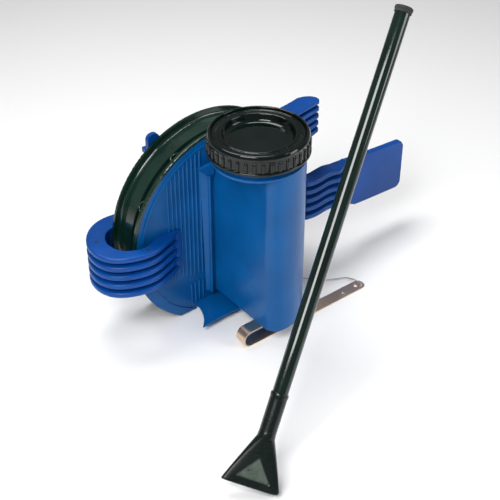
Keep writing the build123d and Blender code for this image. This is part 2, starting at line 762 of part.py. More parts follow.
def make_right_paddle():
    """Flat paddle of the right strap with the fins running out into it."""
    front_y = drum_y - cover_gap
    low = right_top_z - strap_h
    centre = (low + right_top_z) / 2
    paddle_low = paddle_top_z - paddle_h
    side = Polyline((right_hinge_x + 16, low), (right_hinge_x + 16, right_top_z - 2),
                    (right_tip_x, paddle_top_z), (right_tip_x + 3, paddle_low - 4),
                    (right_hinge_x + 90, paddle_low + 2), close=True)
    face = make_face(side.edges())
    frame = Plane(origin=(0, front_y, 0), x_dir=(1, 0, 0), z_dir=(0, -1, 0))
    body = frame * extrude(face, paddle_t)
    tips = body.edges().filter_by(Axis.Y).sort_by(Axis.X)[-2:]
    body = fillet(tips, 14)
    fin = make_face(Polyline((right_hinge_x + 8, front_y - 1), (right_hinge_x + 8, front_y - web_t),
                             (right_hinge_x + 14, front_y - fin_depth), (right_hinge_x + 34, front_y - fin_depth + 4),
                             (right_hinge_x + 62, front_y - paddle_t + 1), (right_hinge_x + 62, front_y - 1),
                             close=True).edges())
    pitch = (strap_h - fin_t) / (fin_count - 1)
    for level in range(fin_count):
        body += Pos(0, 0, low + level * pitch) * extrude(fin, fin_t)
    body += box_between((right_hinge_x + 7, front_y - web_t, low), (right_hinge_x + 20, front_y, right_top_z - 2))
    knuckle = Pos(right_hinge_x, front_y - web_t / 2, centre) * Cylinder(web_t / 2, 24)
    arm = box_between((right_hinge_x, front_y - web_t, centre - 12), (right_hinge_x + 10, front_y, centre + 12))
    pin = Pos(right_hinge_x, front_y - web_t / 2, centre) * Cylinder(2.0 + 0.05, strap_h)
    return body + knuckle + arm - pin


def make_flex_pin():
    """Hinge pin through the right strap's knuckles."""
    low = right_top_z - strap_h
    y = drum_y - cover_gap - web_t / 2
    return Pos(right_hinge_x, y, low + 12) * extrude(Circle(2.0), strap_h - 24)


def make_upper_right_strap():
    """Short finned strap on the rear of the rim, at the upper right."""
    low_y = drum_y + 4
    tip = rim_r + 60
    root = tip - 150
    plan = make_face(Polyline((root, low_y), (tip - 4, low_y + 26), (tip, low_y + 42), (tip - 14, low_y + 62),
                              (tip - 38, low_y + 68), (tip - 94, low_y + 56), (root, low_y + 50), close=True).edges())
    web = make_face(Polyline((root, low_y + 36), (tip - 30, low_y + 50), (tip - 4, low_y + 30), (tip, low_y + 42),
                             (tip - 14, low_y + 62), (tip - 38, low_y + 68), (root, low_y + 50), close=True).edges())
    body = comb(plan, web, upper_top_z, upper_h, upper_fin_t)
    return body - drum_envelope(cover_gap)


def make_upper_left_strap():
    """Strap standing behind the rim at the upper left, its rounded end above the rim."""
    rear = drum_y + rim_width + cover_gap
    frame = Plane(origin=(tip_x, rear, 0), x_dir=(1, 0, 0), z_dir=(0, -1, 0))
    blade = frame * Pos(0, tip_top_z - 70) * RectangleRounded(tip_w, 140, 0.45 * tip_w)
    body = extrude(blade, -10)
    for level in range(4):
        z = 274 + 22 * level
        body += box_between((tip_x - 0.4 * tip_w, rear + 9, z), (tip_x + 0.4 * tip_w, rear + 30, z + 11))
    body = body - [spot * Cylinder(5.5, 7) for spot in rear_screw_spots()]
    return body - [spot * Cylinder(2.25, 40) for spot in strap_screw_spots()]


def strap_screw_spots():
    """Frames of the strap screws, local z out of the head."""
    front_y = drum_y - cover_gap - web_t
    rear_y = drum_y + rim_width + cover_gap + web_t
    mid = left_top_z - strap_h / 2
    front = [Plane(origin=(164, front_y, mid + rise), x_dir=(1, 0, 0), z_dir=(0, -1, 0)) for rise in (-30, 30)]
    rear = [along_y(loop_x + left_tab - 8, mid + rise, rear_y) for rise in (-30, 30)]
    rear += [along_y(tip_x, z, rear_y + 2) for z in (264, 334.5)]
    return front + rear


def make_strap_screws():
    """Screws that fix the strap tabs to the two covers."""
    one = screw(5.0, 3.0, 2.2, 14)
    return [spot * one for spot in strap_screw_spots()]


# ---- steel strip and wire -----------------------------------------------------------------------
def make_steel_strip():
    """Flat spring-steel strip, riveted under the canister and bent back under itself."""
    outer = -floor_z / 2
    inner = outer - strip_t
    x0 = strip_bend_x + outer
    reach = strip_tip_x - x0
    long_side = Pos(x0 + reach / 2, 0) * Rectangle(reach, 2 * outer)
    gap = Pos(x0 + reach / 2, 0) * Rectangle(reach, 2 * inner)
    bar = Pos(x0, 0) * Circle(outer) + long_side - Pos(x0, 0) * Circle(inner) - gap
    bar -= Pos(strip_upper_x + reach / 2, outer) * Rectangle(reach, 2 * outer - strip_t)
    frame = Plane(origin=(0, strip_y + strip_w / 2, -outer), x_dir=(1, 0, 0), z_dir=(0, -1, 0))
    bar = extrude(frame * bar, strip_w)
    tips = bar.edges().filter_by(Axis.Z).sort_by(Axis.X)[-2:]
    bar = fillet(tips, strip_w * 0.42)
    bar -= Pos(strip_tip_x - 22, strip_y, floor_z) * Cylinder(4.5, 8)
    bar -= Pos(strip_tip_x - 62, strip_y, floor_z) * Cylinder(2.45, 8)
    return bar - [Pos(x, strip_y, 0) * Cylinder(2.45, 8) for x in strip_rivet_xs()]


def strip_rivet_xs():
    """Places of the two rivets that hold the strip to the canister's base."""
    return (0.0, 48.0)


def make_strip_rivets():
    """Rivets from the strip's upper leg into the base, and the stud on its free leg."""
    rivets = []
    for x in strip_rivet_xs():
        head = Pos(x, strip_y, -strip_t - 2) * extrude(Circle(5), 2)
        head = fillet(head.edges().sort_by(Axis.Z)[0], 1.2)
        rivets.append(head + Pos(x, strip_y, -strip_t) * extrude(Circle(2.4), strip_t + base_t - 1))
    stud = Pos(strip_tip_x - 62, strip_y, floor_z + strip_t) * extrude(Circle(4.5), 1.8)
    stud = fillet(stud.edges().sort_by(Axis.Z)[-1], 1.2)
    rivets.append(stud + Pos(strip_tip_x - 62, strip_y, floor_z + 0.1) * extrude(Circle(2.4), strip_t + 0.5))
    return rivets


def wire_path():
    """Centre line of the stay wire, from the strip's tip back to its clip on the drum."""
    z = floor_z + strip_t + wire_r
    back = strip_y + strip_w / 2
    return FilletPolyline((strip_tip_x - 9, strip_y - 6, z), (strip_tip_x - 9, back + 3, z),
                          (strip_tip_x - 24, back + 16, z + 5), (strip_tip_x - 70, back + 34, z + 8),
                          (shelf_right_x + 24, drum_y - 20, z + 9), (shelf_right_x + 12, drum_y - 1.5, z + 9), radius=7)


def make_stay_wire():
    """Thin wire from the strip's tip back to the foot of the drum."""
    return round_bar(wire_path(), wire_r)


def make_wire_clip():
    """Block on the front cover that the wire's end is moulded into."""
    z = floor_z + strip_t + wire_r + 9
    left = shelf_right_x + 3
    clip = box_between((left, drum_y - 10, z - 6), (left + 22, drum_y, z + 6))
    clip = fillet(clip.edges().filter_by(Axis.Y), 3)
    return clip - round_bar(wire_path(), wire_r)


# ---- suction wand -------------------------------------------------------------------------------
def wand_frame():
    """Frame at the nozzle's mouth, local z up the wand and local x across the nozzle."""
    heading = radians(wand_heading)
    lean = radians(wand_lean)
    up = Vector(cos(lean) * cos(heading), cos(lean) * sin(heading), sin(lean))
    view = Vector(-0.495, -0.633, 0.595)
    across = up.cross(view).normalized()
    return Plane(origin=(wand_foot[0], wand_foot[1], floor_z + nozzle_lift), x_dir=-across, z_dir=up)


def make_wand_tube():
    """Straight wand tube, open at the top, seated in the nozzle socket."""
    start = nozzle_h + 30
    pipe = Pos(0, 0, start) * ring(wand_r, wand_r - wand_wall, wand_length)
    return wand_frame() * pipe


def make_wand_cuff():
    """Soft cuff round the wand's top end with a turned-out lip."""
    top = nozzle_h + 30 + wand_length
    cuff = Pos(0, 0, top - 5) * ring(wand_r + 1.6, wand_r, 9)
    lip = Pos(0, 0, top) * ring(wand_r + 2.6, wand_r - wand_wall, 7)
    lip = fillet(lip.edges().filter_by(GeomType.CIRCLE).sort_by(lambda e: -e.radius)[:2], 2)
    return wand_frame() * (cuff + lip)


def make_nozzle():
    """Flat triangular nozzle blown in one piece with its socket."""
    half = nozzle_w / 2
    mouth = Pos(0, 0, 0) * RectangleRounded(nozzle_w, nozzle_t, 7)
    throat = Pos(0, 0, nozzle_h) * Circle(socket_r)
    body = loft([mouth, throat], ruled=True)
    body += Pos(0, 0, nozzle_h) * extrude(Circle(socket_r), socket_length)
    mouth_in = Pos(0, 0, -0.01) * RectangleRounded(nozzle_w - 7, nozzle_t - 6, 5)
    throat_in = Pos(0, 0, nozzle_h) * Circle(wand_r - wand_wall)
    body -= loft([mouth_in, throat_in], ruled=True)
    body -= Pos(0, 0, nozzle_h) * extrude(Circle(wand_r - wand_wall), socket_length)
    body -= Pos(0, 0, nozzle_h + 30) * extrude(Circle(wand_r + 0.05), socket_length)
    return wand_frame() * body


# ---- write the pieces ---------------------------------------------------------------------------
def solids_of(shape):
    """One shape for a node, from a part or a list of parts."""
    if isinstance(shape, list):
        return Compound(children=[piece for item in shape for piece in item.solids()])
    return shape


pieces = {
    "canister": make_canister,
    "canister_base": make_canister_base,
    "canister_neck": make_canister_neck,
    "inlet_port": make_inlet_port,
    "inlet_screws": make_inlet_screws,
    "canister_screws": make_canister_screws,
    "lid_ring": make_lid_ring,
    "lid_disc": make_lid_disc,
    "lid_gasket": make_lid_gasket,
    "strainer_basket": make_basket,
    "basket_bail": make_bail,
    "rim_channel": make_rim_channel,
    "rim_screws": make_rim_screws,
    "rear_screws": make_rear_screws,
    "front_cover": make_front_cover,
    "spine_bracket": make_spine,
    "rear_cover": make_rear_cover,
    "front_seal": lambda: make_cover_seal(cover_t),
    "rear_seal": lambda: make_cover_seal(rim_width - cover_t - 2),
    "foot_pads": make_foot_pads,
    "suction_pipe": make_suction_pipe,
    "pump_casing": make_volute,
    "casing_cover": make_volute_cover,
    "impeller": make_impeller,
    "impeller_nut": make_impeller_nut,
    "motor_shaft": make_motor_shaft,
    "motor_rotor": make_rotor,
    "motor_magnet": make_stator,
    "motor_can": make_motor_can,
    "front_bearing": lambda: make_bearing(motor_y + 3),
    "rear_bearing": lambda: make_bearing(motor_y + motor_length - 3 - bearing_t),
    "shaft_seal": make_shaft_seal,
    "motor_bracket": make_motor_bracket,
    "battery_pack": make_battery,
    "battery_tray": make_battery_tray,
    "left_strap": make_left_strap,
    "right_strap_root": make_right_root,
    "right_strap_paddle": make_right_paddle,
    "flex_pin": make_flex_pin,
    "upper_right_strap": make_upper_right_strap,
    "upper_left_strap": make_upper_left_strap,
    "strap_screws": make_strap_screws,
    "steel_strip": make_steel_strip,
    "strip_rivets": make_strip_rivets,
    "stay_wire": make_stay_wire,
    "wire_clip": make_wire_clip,
    "wand_tube": make_wand_tube,
    "wand_cuff": make_wand_cuff,
    "wand_nozzle": make_nozzle,
}

os.makedirs("parts", exist_ok=True)
for name, make in pieces.items():
    export_step(solids_of(make()), f"parts/{name}.step")
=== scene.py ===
"""Looks of the portable pool cleaner: canister with knurled lid, pump drum, finned straps and wand.

Every length is in metres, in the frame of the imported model: the origin is the centre of the canister's
base face, +Z is up, +Y points from the canister to the drum behind it and X runs along the drum's width.
"""
import json
import logging
from dataclasses import dataclass
from enum import Enum
from math import asin, cos, hypot, pi, radians, sin, sqrt
from typing import Callable, Sequence

import bmesh
import bpy
from mathutils import Euler, Matrix, Vector

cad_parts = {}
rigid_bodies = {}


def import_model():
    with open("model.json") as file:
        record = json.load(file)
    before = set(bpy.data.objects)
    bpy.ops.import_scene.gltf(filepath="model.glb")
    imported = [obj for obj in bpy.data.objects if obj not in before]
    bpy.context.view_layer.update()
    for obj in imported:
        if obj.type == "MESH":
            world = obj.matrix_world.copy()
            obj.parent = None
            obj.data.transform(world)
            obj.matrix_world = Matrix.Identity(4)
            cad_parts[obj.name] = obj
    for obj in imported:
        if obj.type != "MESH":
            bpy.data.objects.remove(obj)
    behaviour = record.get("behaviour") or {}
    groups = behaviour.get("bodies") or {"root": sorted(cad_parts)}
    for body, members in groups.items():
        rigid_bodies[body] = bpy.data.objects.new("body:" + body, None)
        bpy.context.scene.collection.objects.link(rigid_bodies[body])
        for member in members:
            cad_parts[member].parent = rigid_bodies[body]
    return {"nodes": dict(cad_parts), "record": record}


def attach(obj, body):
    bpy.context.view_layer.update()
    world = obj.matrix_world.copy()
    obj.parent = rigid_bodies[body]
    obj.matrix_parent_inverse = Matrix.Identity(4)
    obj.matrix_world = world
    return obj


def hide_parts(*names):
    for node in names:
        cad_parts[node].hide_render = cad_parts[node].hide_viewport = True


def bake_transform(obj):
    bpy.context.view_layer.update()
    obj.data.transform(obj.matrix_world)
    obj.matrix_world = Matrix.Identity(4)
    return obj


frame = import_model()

log = logging.getLogger("pool_cleaner")

Number = float
Point = tuple[float, float, float]
Loop = list[Vector]

FLOOR_Z = -0.040
DRUM_Z = 0.168
COVER_FRONT_Y = 0.1177
COVER_REAR_Y = 0.2063


# ---- shader maths -------------------------------------------------------------------------------
class Signal:
    """A shader socket that can be used in Python expressions."""

    def __init__(self, tree: "ShaderTree", socket: bpy.types.NodeSocket) -> None:
        """Wraps one output socket of a tree."""
        self.tree = tree
        self.socket = socket

    def maths(self, operation: str, first: "Signal | Number", second: "Signal | Number") -> "Signal":
        """Adds one Math node.

        Args:
            operation: the node's operation.
            first: its first value.
            second: its second value.

        Returns:
            The node's result.
        """
        node = self.tree.node("ShaderNodeMath", {"operation": operation}, {0: first, 1: second})
        return Signal(self.tree, node.outputs[0])

    def __add__(self, other: "Signal | Number") -> "Signal":
        """self + other."""
        return self.maths("ADD", self, other)

    __radd__ = __add__

    def __mul__(self, other: "Signal | Number") -> "Signal":
        """self * other."""
        return self.maths("MULTIPLY", self, other)

    __rmul__ = __mul__

    def __sub__(self, other: "Signal | Number") -> "Signal":
        """self - other."""
        return self.maths("SUBTRACT", self, other)

    def __rsub__(self, other: Number) -> "Signal":
        """other - self."""
        return self.maths("SUBTRACT", other, self)

    def __truediv__(self, other: "Signal | Number") -> "Signal":
        """self / other."""
        return self.maths("DIVIDE", self, other)

    def __pow__(self, other: Number) -> "Signal":
        """self ** other."""
        return self.maths("POWER", self, other)

    def band(self, low: Number, high: Number) -> "Signal":
        """Smooth step of the signal between two values.

        Args:
            low: value that gives 0.
            high: value that gives 1.

        Returns:
            The stepped signal.
        """
        settings = {"interpolation_type": "SMOOTHSTEP"}
        inputs = {"Value": self, "From Min": low, "From Max": high}
        node = self.tree.node("ShaderNodeMapRange", settings, inputs)
        return Signal(self.tree, node.outputs[0])


class ShaderTree:
    """One material's nodes, ending in a Principled shader."""

    def __init__(self, name: str) -> None:
        """Starts a material with only its shader and output."""
        self.material = bpy.data.materials.new(name)
        self.material.use_nodes = True
        self.nodes = self.material.node_tree.nodes
        self.links = self.material.node_tree.links
        self.shader = self.nodes["Principled BSDF"]
        coordinates = self.node("ShaderNodeTexCoord", {}, {})
        self.place = Signal(self, coordinates.outputs["Object"])
        self.uv = Signal(self, coordinates.outputs["UV"])

    def node(self, kind: str, settings: dict, inputs: dict) -> bpy.types.Node:
        """Adds a node.

        Args:
            kind: the node's type name.
            settings: its properties, set first.
            inputs: values or signals for its input sockets, by name or index.

        Returns:
            The new node.
        """
        made = self.nodes.new(kind)
        for key, value in settings.items():
            if key == "stops":
                self.fill_ramp(made, value)
            else:
                setattr(made, key, value)
        for key, value in inputs.items():
            self.feed(made.inputs[key], value)
        return made

    @staticmethod
    def fill_ramp(ramp: bpy.types.Node, stops: Sequence[tuple]) -> None:
        """Sets a colour ramp's stops.

        Args:
            ramp: the ramp node.
            stops: pairs of place and colour, in order.
        """
        elements = ramp.color_ramp.elements
        while len(elements) < len(stops):
            elements.new(0.5)
        for element, (place, colour) in zip(elements, stops):
            element.position = place
            element.color = (*colour, 1.0)

    def feed(self, socket: bpy.types.NodeSocket, value: "Signal | Number | Sequence[float]") -> None:
        """Links a signal to a socket, or sets a plain value on it."""
        if isinstance(value, Signal):
            self.links.new(value.socket, socket)
        else:
            socket.default_value = value

    def set(self, **values: "Signal | Number | Sequence[float]") -> None:
        """Feeds the shader's own sockets, named with underscores for spaces."""
        for key, value in values.items():
            self.feed(self.shader.inputs[key.replace("_", " ")], value)

    def stretched(self, scale: Point) -> Signal:
        """Object coordinates scaled along each axis."""
        node = self.node("ShaderNodeMapping", {}, {"Vector": self.place, "Scale": scale})
        return Signal(self, node.outputs[0])

    def noise(self, scale: Number, detail: Number = 2.0, at: "Signal | None" = None) -> Signal:
        """A noise value from 0 to 1.

        Args:
            scale: cells for each metre.
            detail: octaves.
            at: coordinates, or the plain object coordinates.

        Returns:
            The noise.
        """
        inputs = {"Vector": at or self.place, "Scale": scale, "Detail": detail}
        node = self.node("ShaderNodeTexNoise", {"noise_dimensions": "3D"}, inputs)
        return Signal(self, node.outputs["Fac"])

    def mix(self, factor: "Signal | Number", first: "Signal | Point", second: "Signal | Point") -> Signal:
        """Mixes two colours.

        Args:
            factor: 0 for the first and 1 for the second.
            first: a colour.
            second: a colour.

        Returns:
            The mixed colour.
        """
        node = self.node("ShaderNodeMix", {"data_type": "RGBA"}, {"Factor": factor})
        for index, colour in ((6, first), (7, second)):
            value = colour if isinstance(colour, Signal) else (*colour, 1.0)
            self.feed(node.inputs[index], value)
        return Signal(self, node.outputs[2])

    def bump(self, height: Signal, depth: Number) -> Signal:
        """Turns a height from 0 to 1 into a normal.

        Args:
            height: the height signal.
            depth: what 1 means, in metres.

        Returns:
            The normal.
        """
        node = self.node("ShaderNodeBump", {}, {"Height": height, "Distance": depth, "Strength": 1.0})
        return Signal(self, node.outputs[0])


# ---- finishes -----------------------------------------------------------------------------------
@dataclass(frozen=True)
class MouldedPlastic:
    """Injection or blow moulded plastic.

    Colour drifts slightly, fine grain and slow waves show in the gloss, and thin scuffs dull it.
    """

    name: str
    colour: Point
    roughness: float = 0.28
    drift: float = 0.12
    grain: float = 0.00004
    grain_scale: float = 1400.0
    wave: float = 0.0004
    scuffs: float = 0.14
    coat: float = 0.25
    gloss: float = 0.32

    def base(self, tree: ShaderTree) -> Signal:
        """The colour with its drift and its pale specks."""
        dark = tuple(c * (1 - self.drift) for c in self.colour)
        light = tuple(min(1.0, c * (1 + self.drift) + 0.001) for c in self.colour)
        speck = tree.noise(650.0, 1.0).band(0.66, 0.74)
        drifted = tree.mix(tree.noise(9.0, 3.0).band(0.3, 0.7), dark, light)
        return tree.mix(speck * 0.04, drifted, (0.35, 0.38, 0.40))

    def material(self) -> bpy.types.Material:
        """Builds the material."""
        tree = ShaderTree(self.name)
        base = self.base(tree)
        scratch = tree.noise(38.0, 4.0, tree.stretched((1.0, 1.0, 9.0))).band(0.60, 0.70)
        dust = tree.noise(22.0, 5.0).band(0.5, 0.75)
        tree.set(Base_Color=base, Roughness=scratch * self.scuffs + dust * 0.06 + self.roughness)
        height = tree.noise(self.grain_scale, 2.0) * (self.grain / self.wave) + tree.noise(26.0, 1.0)
        tree.set(Normal=tree.bump(height, self.wave), Coat_Weight=self.coat, Coat_Roughness=0.08)
        tree.set(Specular_IOR_Level=self.gloss)
        return tree.material


@dataclass(frozen=True)
class PaleSunkPlastic(MouldedPlastic):
    """Moulded plastic that is paler where its UV map's first value is 1."""

    # paler colour given to the nozzle's sunk triangles
    worn: Point = (0.085, 0.110, 0.090)

    def base(self, tree: ShaderTree) -> Signal:
        """The plain colour, mixed with the paler one."""
        split = tree.node("ShaderNodeSeparateXYZ", {}, {"Vector": tree.uv})
        patch = tree.noise(70.0, 3.0).band(0.05, 0.65) * Signal(tree, split.outputs[0])
        return tree.mix(patch, super().base(tree), self.worn)


@dataclass(frozen=True)
class Metal:
    """Bare metal with rolling lines along one axis."""

    name: str
    colour: Point
    roughness: float = 0.2
    stretch: Point = (1.0, 1.0, 1.0)
    tarnish: Point = (0.30, 0.26, 0.20)
    tarnish_share: float = 0.25
    lines: float = 0.00003

    def material(self) -> bpy.types.Material:
        """Builds the material."""
        tree = ShaderTree(self.name)
        spots = tree.noise(30.0, 5.0).band(0.50, 0.72)
        rolled = tree.noise(420.0, 3.0, tree.stretched(self.stretch))
        base = tree.mix(spots * self.tarnish_share, self.colour, self.tarnish)
        tree.set(Base_Color=base, Metallic=1.0, Roughness=rolled * 0.10 + spots * 0.10 + self.roughness)
        tree.set(Normal=tree.bump(rolled, self.lines))
        return tree.material


@dataclass(frozen=True)
class Rubber:
    """Soft rubber with a dusty bloom."""

    name: str
    colour: Point
    roughness: float = 0.7

    def material(self) -> bpy.types.Material:
        """Builds the material."""
        tree = ShaderTree(self.name)
        bloom = tree.noise(60.0, 5.0).band(0.45, 0.8)
        base = tree.mix(bloom * 0.35, self.colour, (0.12, 0.12, 0.12))
        tree.set(Base_Color=base, Roughness=bloom * 0.15 + self.roughness)
        tree.set(Normal=tree.bump(tree.noise(1100.0, 3.0), 0.00008))
        return tree.material


@dataclass(frozen=True)
class PaleFloor:
    """Plain pale floor."""

    name: str = "pale_floor"
    colour: Point = (0.90, 0.90, 0.90)

    def material(self) -> bpy.types.Material:
        """Builds the material."""
        tree = ShaderTree(self.name)
        tree.set(Base_Color=(*self.colour, 1.0), Roughness=0.85)
        return tree.material


FINISHES = {
    "blue_moulding": MouldedPlastic("blue_moulding", (0.0, 0.084, 0.280), 0.30, 0.12, wave=0.0004, coat=0.08,
                                    gloss=0.22, scuffs=0.05),
    "strap_plastic": MouldedPlastic("strap_plastic", (0.0, 0.052, 0.255), 0.32, 0.14, wave=0.0004, coat=0.06,
                                    gloss=0.22, scuffs=0.06),
    "rim_black": MouldedPlastic("rim_black", (0.004, 0.020, 0.013), 0.15, 0.25, 0.000008, scuffs=0.07,
                                coat=0.30, gloss=0.5),
    "lid_black": MouldedPlastic("lid_black", (0.001, 0.005, 0.004), 0.08, 0.25, 0.000008, scuffs=0.05,
                                coat=0.10, gloss=0.34, wave=0.0002),
    "wand_black": MouldedPlastic("wand_black", (0.002, 0.010, 0.007), 0.10, 0.25, 0.000008, scuffs=0.05,
                                 coat=0.35, gloss=0.4, wave=0.0001),
    "nozzle_black": PaleSunkPlastic("nozzle_black", (0.002, 0.006, 0.005), 0.24, 0.25, scuffs=0.10, coat=0.20),
    "soft_rubber": Rubber("soft_rubber", (0.015, 0.016, 0.016)),
    "grey_plastic": MouldedPlastic("grey_plastic", (0.26, 0.27, 0.28), 0.42, 0.08, coat=0.0),
    "ivory_plastic": MouldedPlastic("ivory_plastic", (0.72, 0.70, 0.62), 0.38, 0.06, coat=0.0),
    "bright_strip": Metal("bright_strip", (0.78, 0.58, 0.40), 0.26, (1.0, 12.0, 12.0)),
    "steel": Metal("steel", (0.55, 0.55, 0.54), 0.28, tarnish_share=0.15),
    "zinc_can": Metal("zinc_can", (0.45, 0.46, 0.46), 0.34, (12.0, 1.0, 12.0)),
    "bracket_metal": Metal("bracket_metal", (0.62, 0.63, 0.64), 0.42),
    "copper_winding": Metal("copper_winding", (0.72, 0.34, 0.16), 0.34, (1.0, 20.0, 1.0)),
    "magnet": Metal("magnet", (0.12, 0.12, 0.13), 0.5),
    "battery_skin": MouldedPlastic("battery_skin", (0.03, 0.03, 0.034), 0.36, 0.1, coat=0.0),
}


class Palette:
    """The materials, each made once, by the record's slot name."""

    def __init__(self) -> None:
        """Starts empty."""
        self.made: dict[str, bpy.types.Material] = {}

    def of(self, slot: str) -> bpy.types.Material:
        """The material of a slot."""
        if slot not in self.made:
            self.made[slot] = FINISHES[slot].material()
        return self.made[slot]


PALETTE = Palette()


# ---- mesh making --------------------------------------------------------------------------------
def mesh_object(name: str, points: Sequence[Vector], faces: Sequence[Sequence[int]]) -> bpy.types.Object:
    """A smooth-shaded object with its faces turned outwards.

    Args:
        name: the piece's name.
        points: its vertices.
        faces: its faces, as vertex indices.

    Returns:
        The object, linked to the scene.
    """
    mesh = bpy.data.meshes.new(name)
    mesh.from_pydata([tuple(p) for p in points], [], [tuple(f) for f in faces])
    work = bmesh.new()
    work.from_mesh(mesh)
    bmesh.ops.remove_doubles(work, verts=work.verts, dist=1e-6)
    bmesh.ops.recalc_face_normals(work, faces=work.faces)
    work.to_mesh(mesh)
    work.free()
    mesh.shade_smooth()
    made = bpy.data.objects.new(name, mesh)
    bpy.context.scene.collection.objects.link(made)
    return made


def loft(name: str, sections: Sequence[Loop], closed: bool = False) -> bpy.types.Object:
    """A skin over closed sections with the same number of points.

    Args:
        name: the piece's name.
        sections: the loops, in order.
        closed: whether the last joins the first, or both ends are capped.

    Returns:
        The object.
    """
    size = len(sections[0])
    points = [p for section in sections for p in section]
    faces = []
    spans = len(sections) if closed else len(sections) - 1
    for i in range(spans):
        j = (i + 1) % len(sections)
        for k in range(size):
            n = (k + 1) % size
            faces.append((i * size + k, i * size + n, j * size + n, j * size + k))
    if not closed:
        faces.append(tuple(range(size)))
        faces.append(tuple((len(sections) - 1) * size + k for k in range(size)))
    return mesh_object(name, points, faces)


def rounded_loop(centre: Vector, u: Vector, v: Vector, half: tuple[float, float], radius: float,
                 steps: int = 3) -> Loop:
    """A rectangle with rounded corners in the plane of u and v.

    Args:
        centre: its middle.
        u: unit vector along its first side.
        v: unit vector along its second side.
        half: its half sizes along u and v.
        radius: the corners' radius.
        steps: segments in each corner.

    Returns:
        Its points in order.
    """
    radius = min(radius, half[0] * 0.999, half[1] * 0.999)
    loop = []
    for quarter, (su, sv) in enumerate(((1, 1), (-1, 1), (-1, -1), (1, -1))):
        middle = centre + u * su * (half[0] - radius) + v * sv * (half[1] - radius)
        for step in range(steps + 1):
            angle = (quarter + step / steps) * pi / 2
            loop.append(middle + u * radius * cos(angle) + v * radius * sin(angle))
    return loop


def cover_loop(x: float, depth: float, low: float, high: float, radius: float, crown: float = 0.0,
               steps: int = 3) -> Loop:
    """An upright rounded rectangle across X, with its back on the front cover.

    Args:
        x: its place along X.
        depth: how far it stands in front of the cover.
        low: its lowest height.
        high: its greatest height.
        radius: the corners' radius.
        crown: how far it is moved forwards.
        steps: segments in each corner.

    Returns:
        Its points in order.
    """
    centre = Vector((x, COVER_FRONT_Y - depth / 2 - crown, (low + high) / 2))
    half = (depth / 2, (high - low) / 2)
    return rounded_loop(centre, Vector((0, 1, 0)), Vector((0, 0, 1)), half, radius, steps)


def lathe(name: str, profile: Sequence[tuple[float, float]], segments: int = 144) -> bpy.types.Object:
    """Turns a closed profile round the Z axis.

    Args:
        name: the piece's name.
        profile: pairs of radius and height, in order.
        segments: steps round the axis.

    Returns:
        The object.
    """
    sections = []
    for index in range(segments):
        angle = 2 * pi * index / segments
        sections.append([Vector((r * cos(angle), r * sin(angle), z)) for r, z in profile])
    return loft(name, sections, closed=True)


def rounded_profile(corners: Sequence[Point], steps: int = 4) -> list[tuple[float, float]]:
    """A closed profile with an arc at each corner.

    Args:
        corners: radius, height and corner radius of each corner.
        steps: segments in each arc.

    Returns:
        The profile's points.
    """
    out = []
    count = len(corners)
    for index, (x, y, radius) in enumerate(corners):
        here = Vector((x, y))
        before = Vector(corners[index - 1][:2]) - here
        after = Vector(corners[(index + 1) % count][:2]) - here
        if radius <= 0 or before.length < 1e-9 or after.length < 1e-9:
            out.append((x, y))
            continue
        reach = min(radius, before.length * 0.49, after.length * 0.49)
        start = here + before.normalized() * reach
        end = here + after.normalized() * reach
        for step in range(steps + 1):
            t = step / steps
            point = start * (1 - t) ** 2 + here * 2 * t * (1 - t) + end * t ** 2
            out.append((point.x, point.y))
    return out


def prism(name: str, outline: Sequence[tuple[float, float]], low: float, high: float) -> bpy.types.Object:
    """An upright prism.

    Args:
        name: the piece's name.
        outline: its plan.
        low: height of its underside.
        high: height of its top.

    Returns:
        The object.
    """
    return loft(name, [[Vector((x, y, z)) for x, y in outline] for z in (low, high)])


def settled(piece: bpy.types.Object) -> bpy.types.Object:
    """Applies a piece's modifiers to its mesh."""
    graph = bpy.context.evaluated_depsgraph_get()
    mesh = bpy.data.meshes.new_from_object(piece.evaluated_get(graph))
    piece.modifiers.clear()
    old = piece.data
    piece.data = mesh
    mesh.name = piece.name
    bpy.data.meshes.remove(old)
    return piece


def softened(piece: bpy.types.Object, width: float, segments: int = 3,
             angle: float = 30.0) -> bpy.types.Object:
    """Rounds a piece's sharp edges and evens its shading.

    Args:
        piece: the object.
        width: the rounding's width.
        segments: its steps.
        angle: edges flatter than this, in degrees, stay.

    Returns:
        The same object.
    """
    bevel = piece.modifiers.new("rounding", "BEVEL")
    bevel.width = width
    bevel.segments = segments
    bevel.limit_method = "ANGLE"
    bevel.angle_limit = radians(angle)
    even = piece.modifiers.new("even_shading", "WEIGHTED_NORMAL")
    even.weight = 60
    return settled(piece)


def joined(name: str, pieces: Sequence[bpy.types.Object]) -> bpy.types.Object:
    """One object from several, with all their faces.

    Args:
        name: the new piece's name.
        pieces: the objects, which are used up.

    Returns:
        The joined object.
    """
    work = bmesh.new()
    for piece in pieces:
        work.from_mesh(piece.data)
    mesh = bpy.data.meshes.new(name)
    work.to_mesh(mesh)
    work.free()
    mesh.shade_smooth()
    for piece in pieces:
        bpy.data.objects.remove(piece)
    made = bpy.data.objects.new(name, mesh)
    bpy.context.scene.collection.objects.link(made)
    return made


def evened(piece: bpy.types.Object, sharp: float = 40.0) -> bpy.types.Object:
    """Splits shading at sharp edges and weights the rest by face size."""
    piece.data.set_sharp_from_angle(angle=radians(sharp))
    even = piece.modifiers.new("even_shading", "WEIGHTED_NORMAL")
    even.keep_sharp = True
    even.weight = 60
    return settled(piece)


# ---- patterns by geometry nodes -----------------------------------------------------------------
class Layout(Enum):
    """How a pattern places its copies."""

    RING = "ring"
    STACK = "stack"


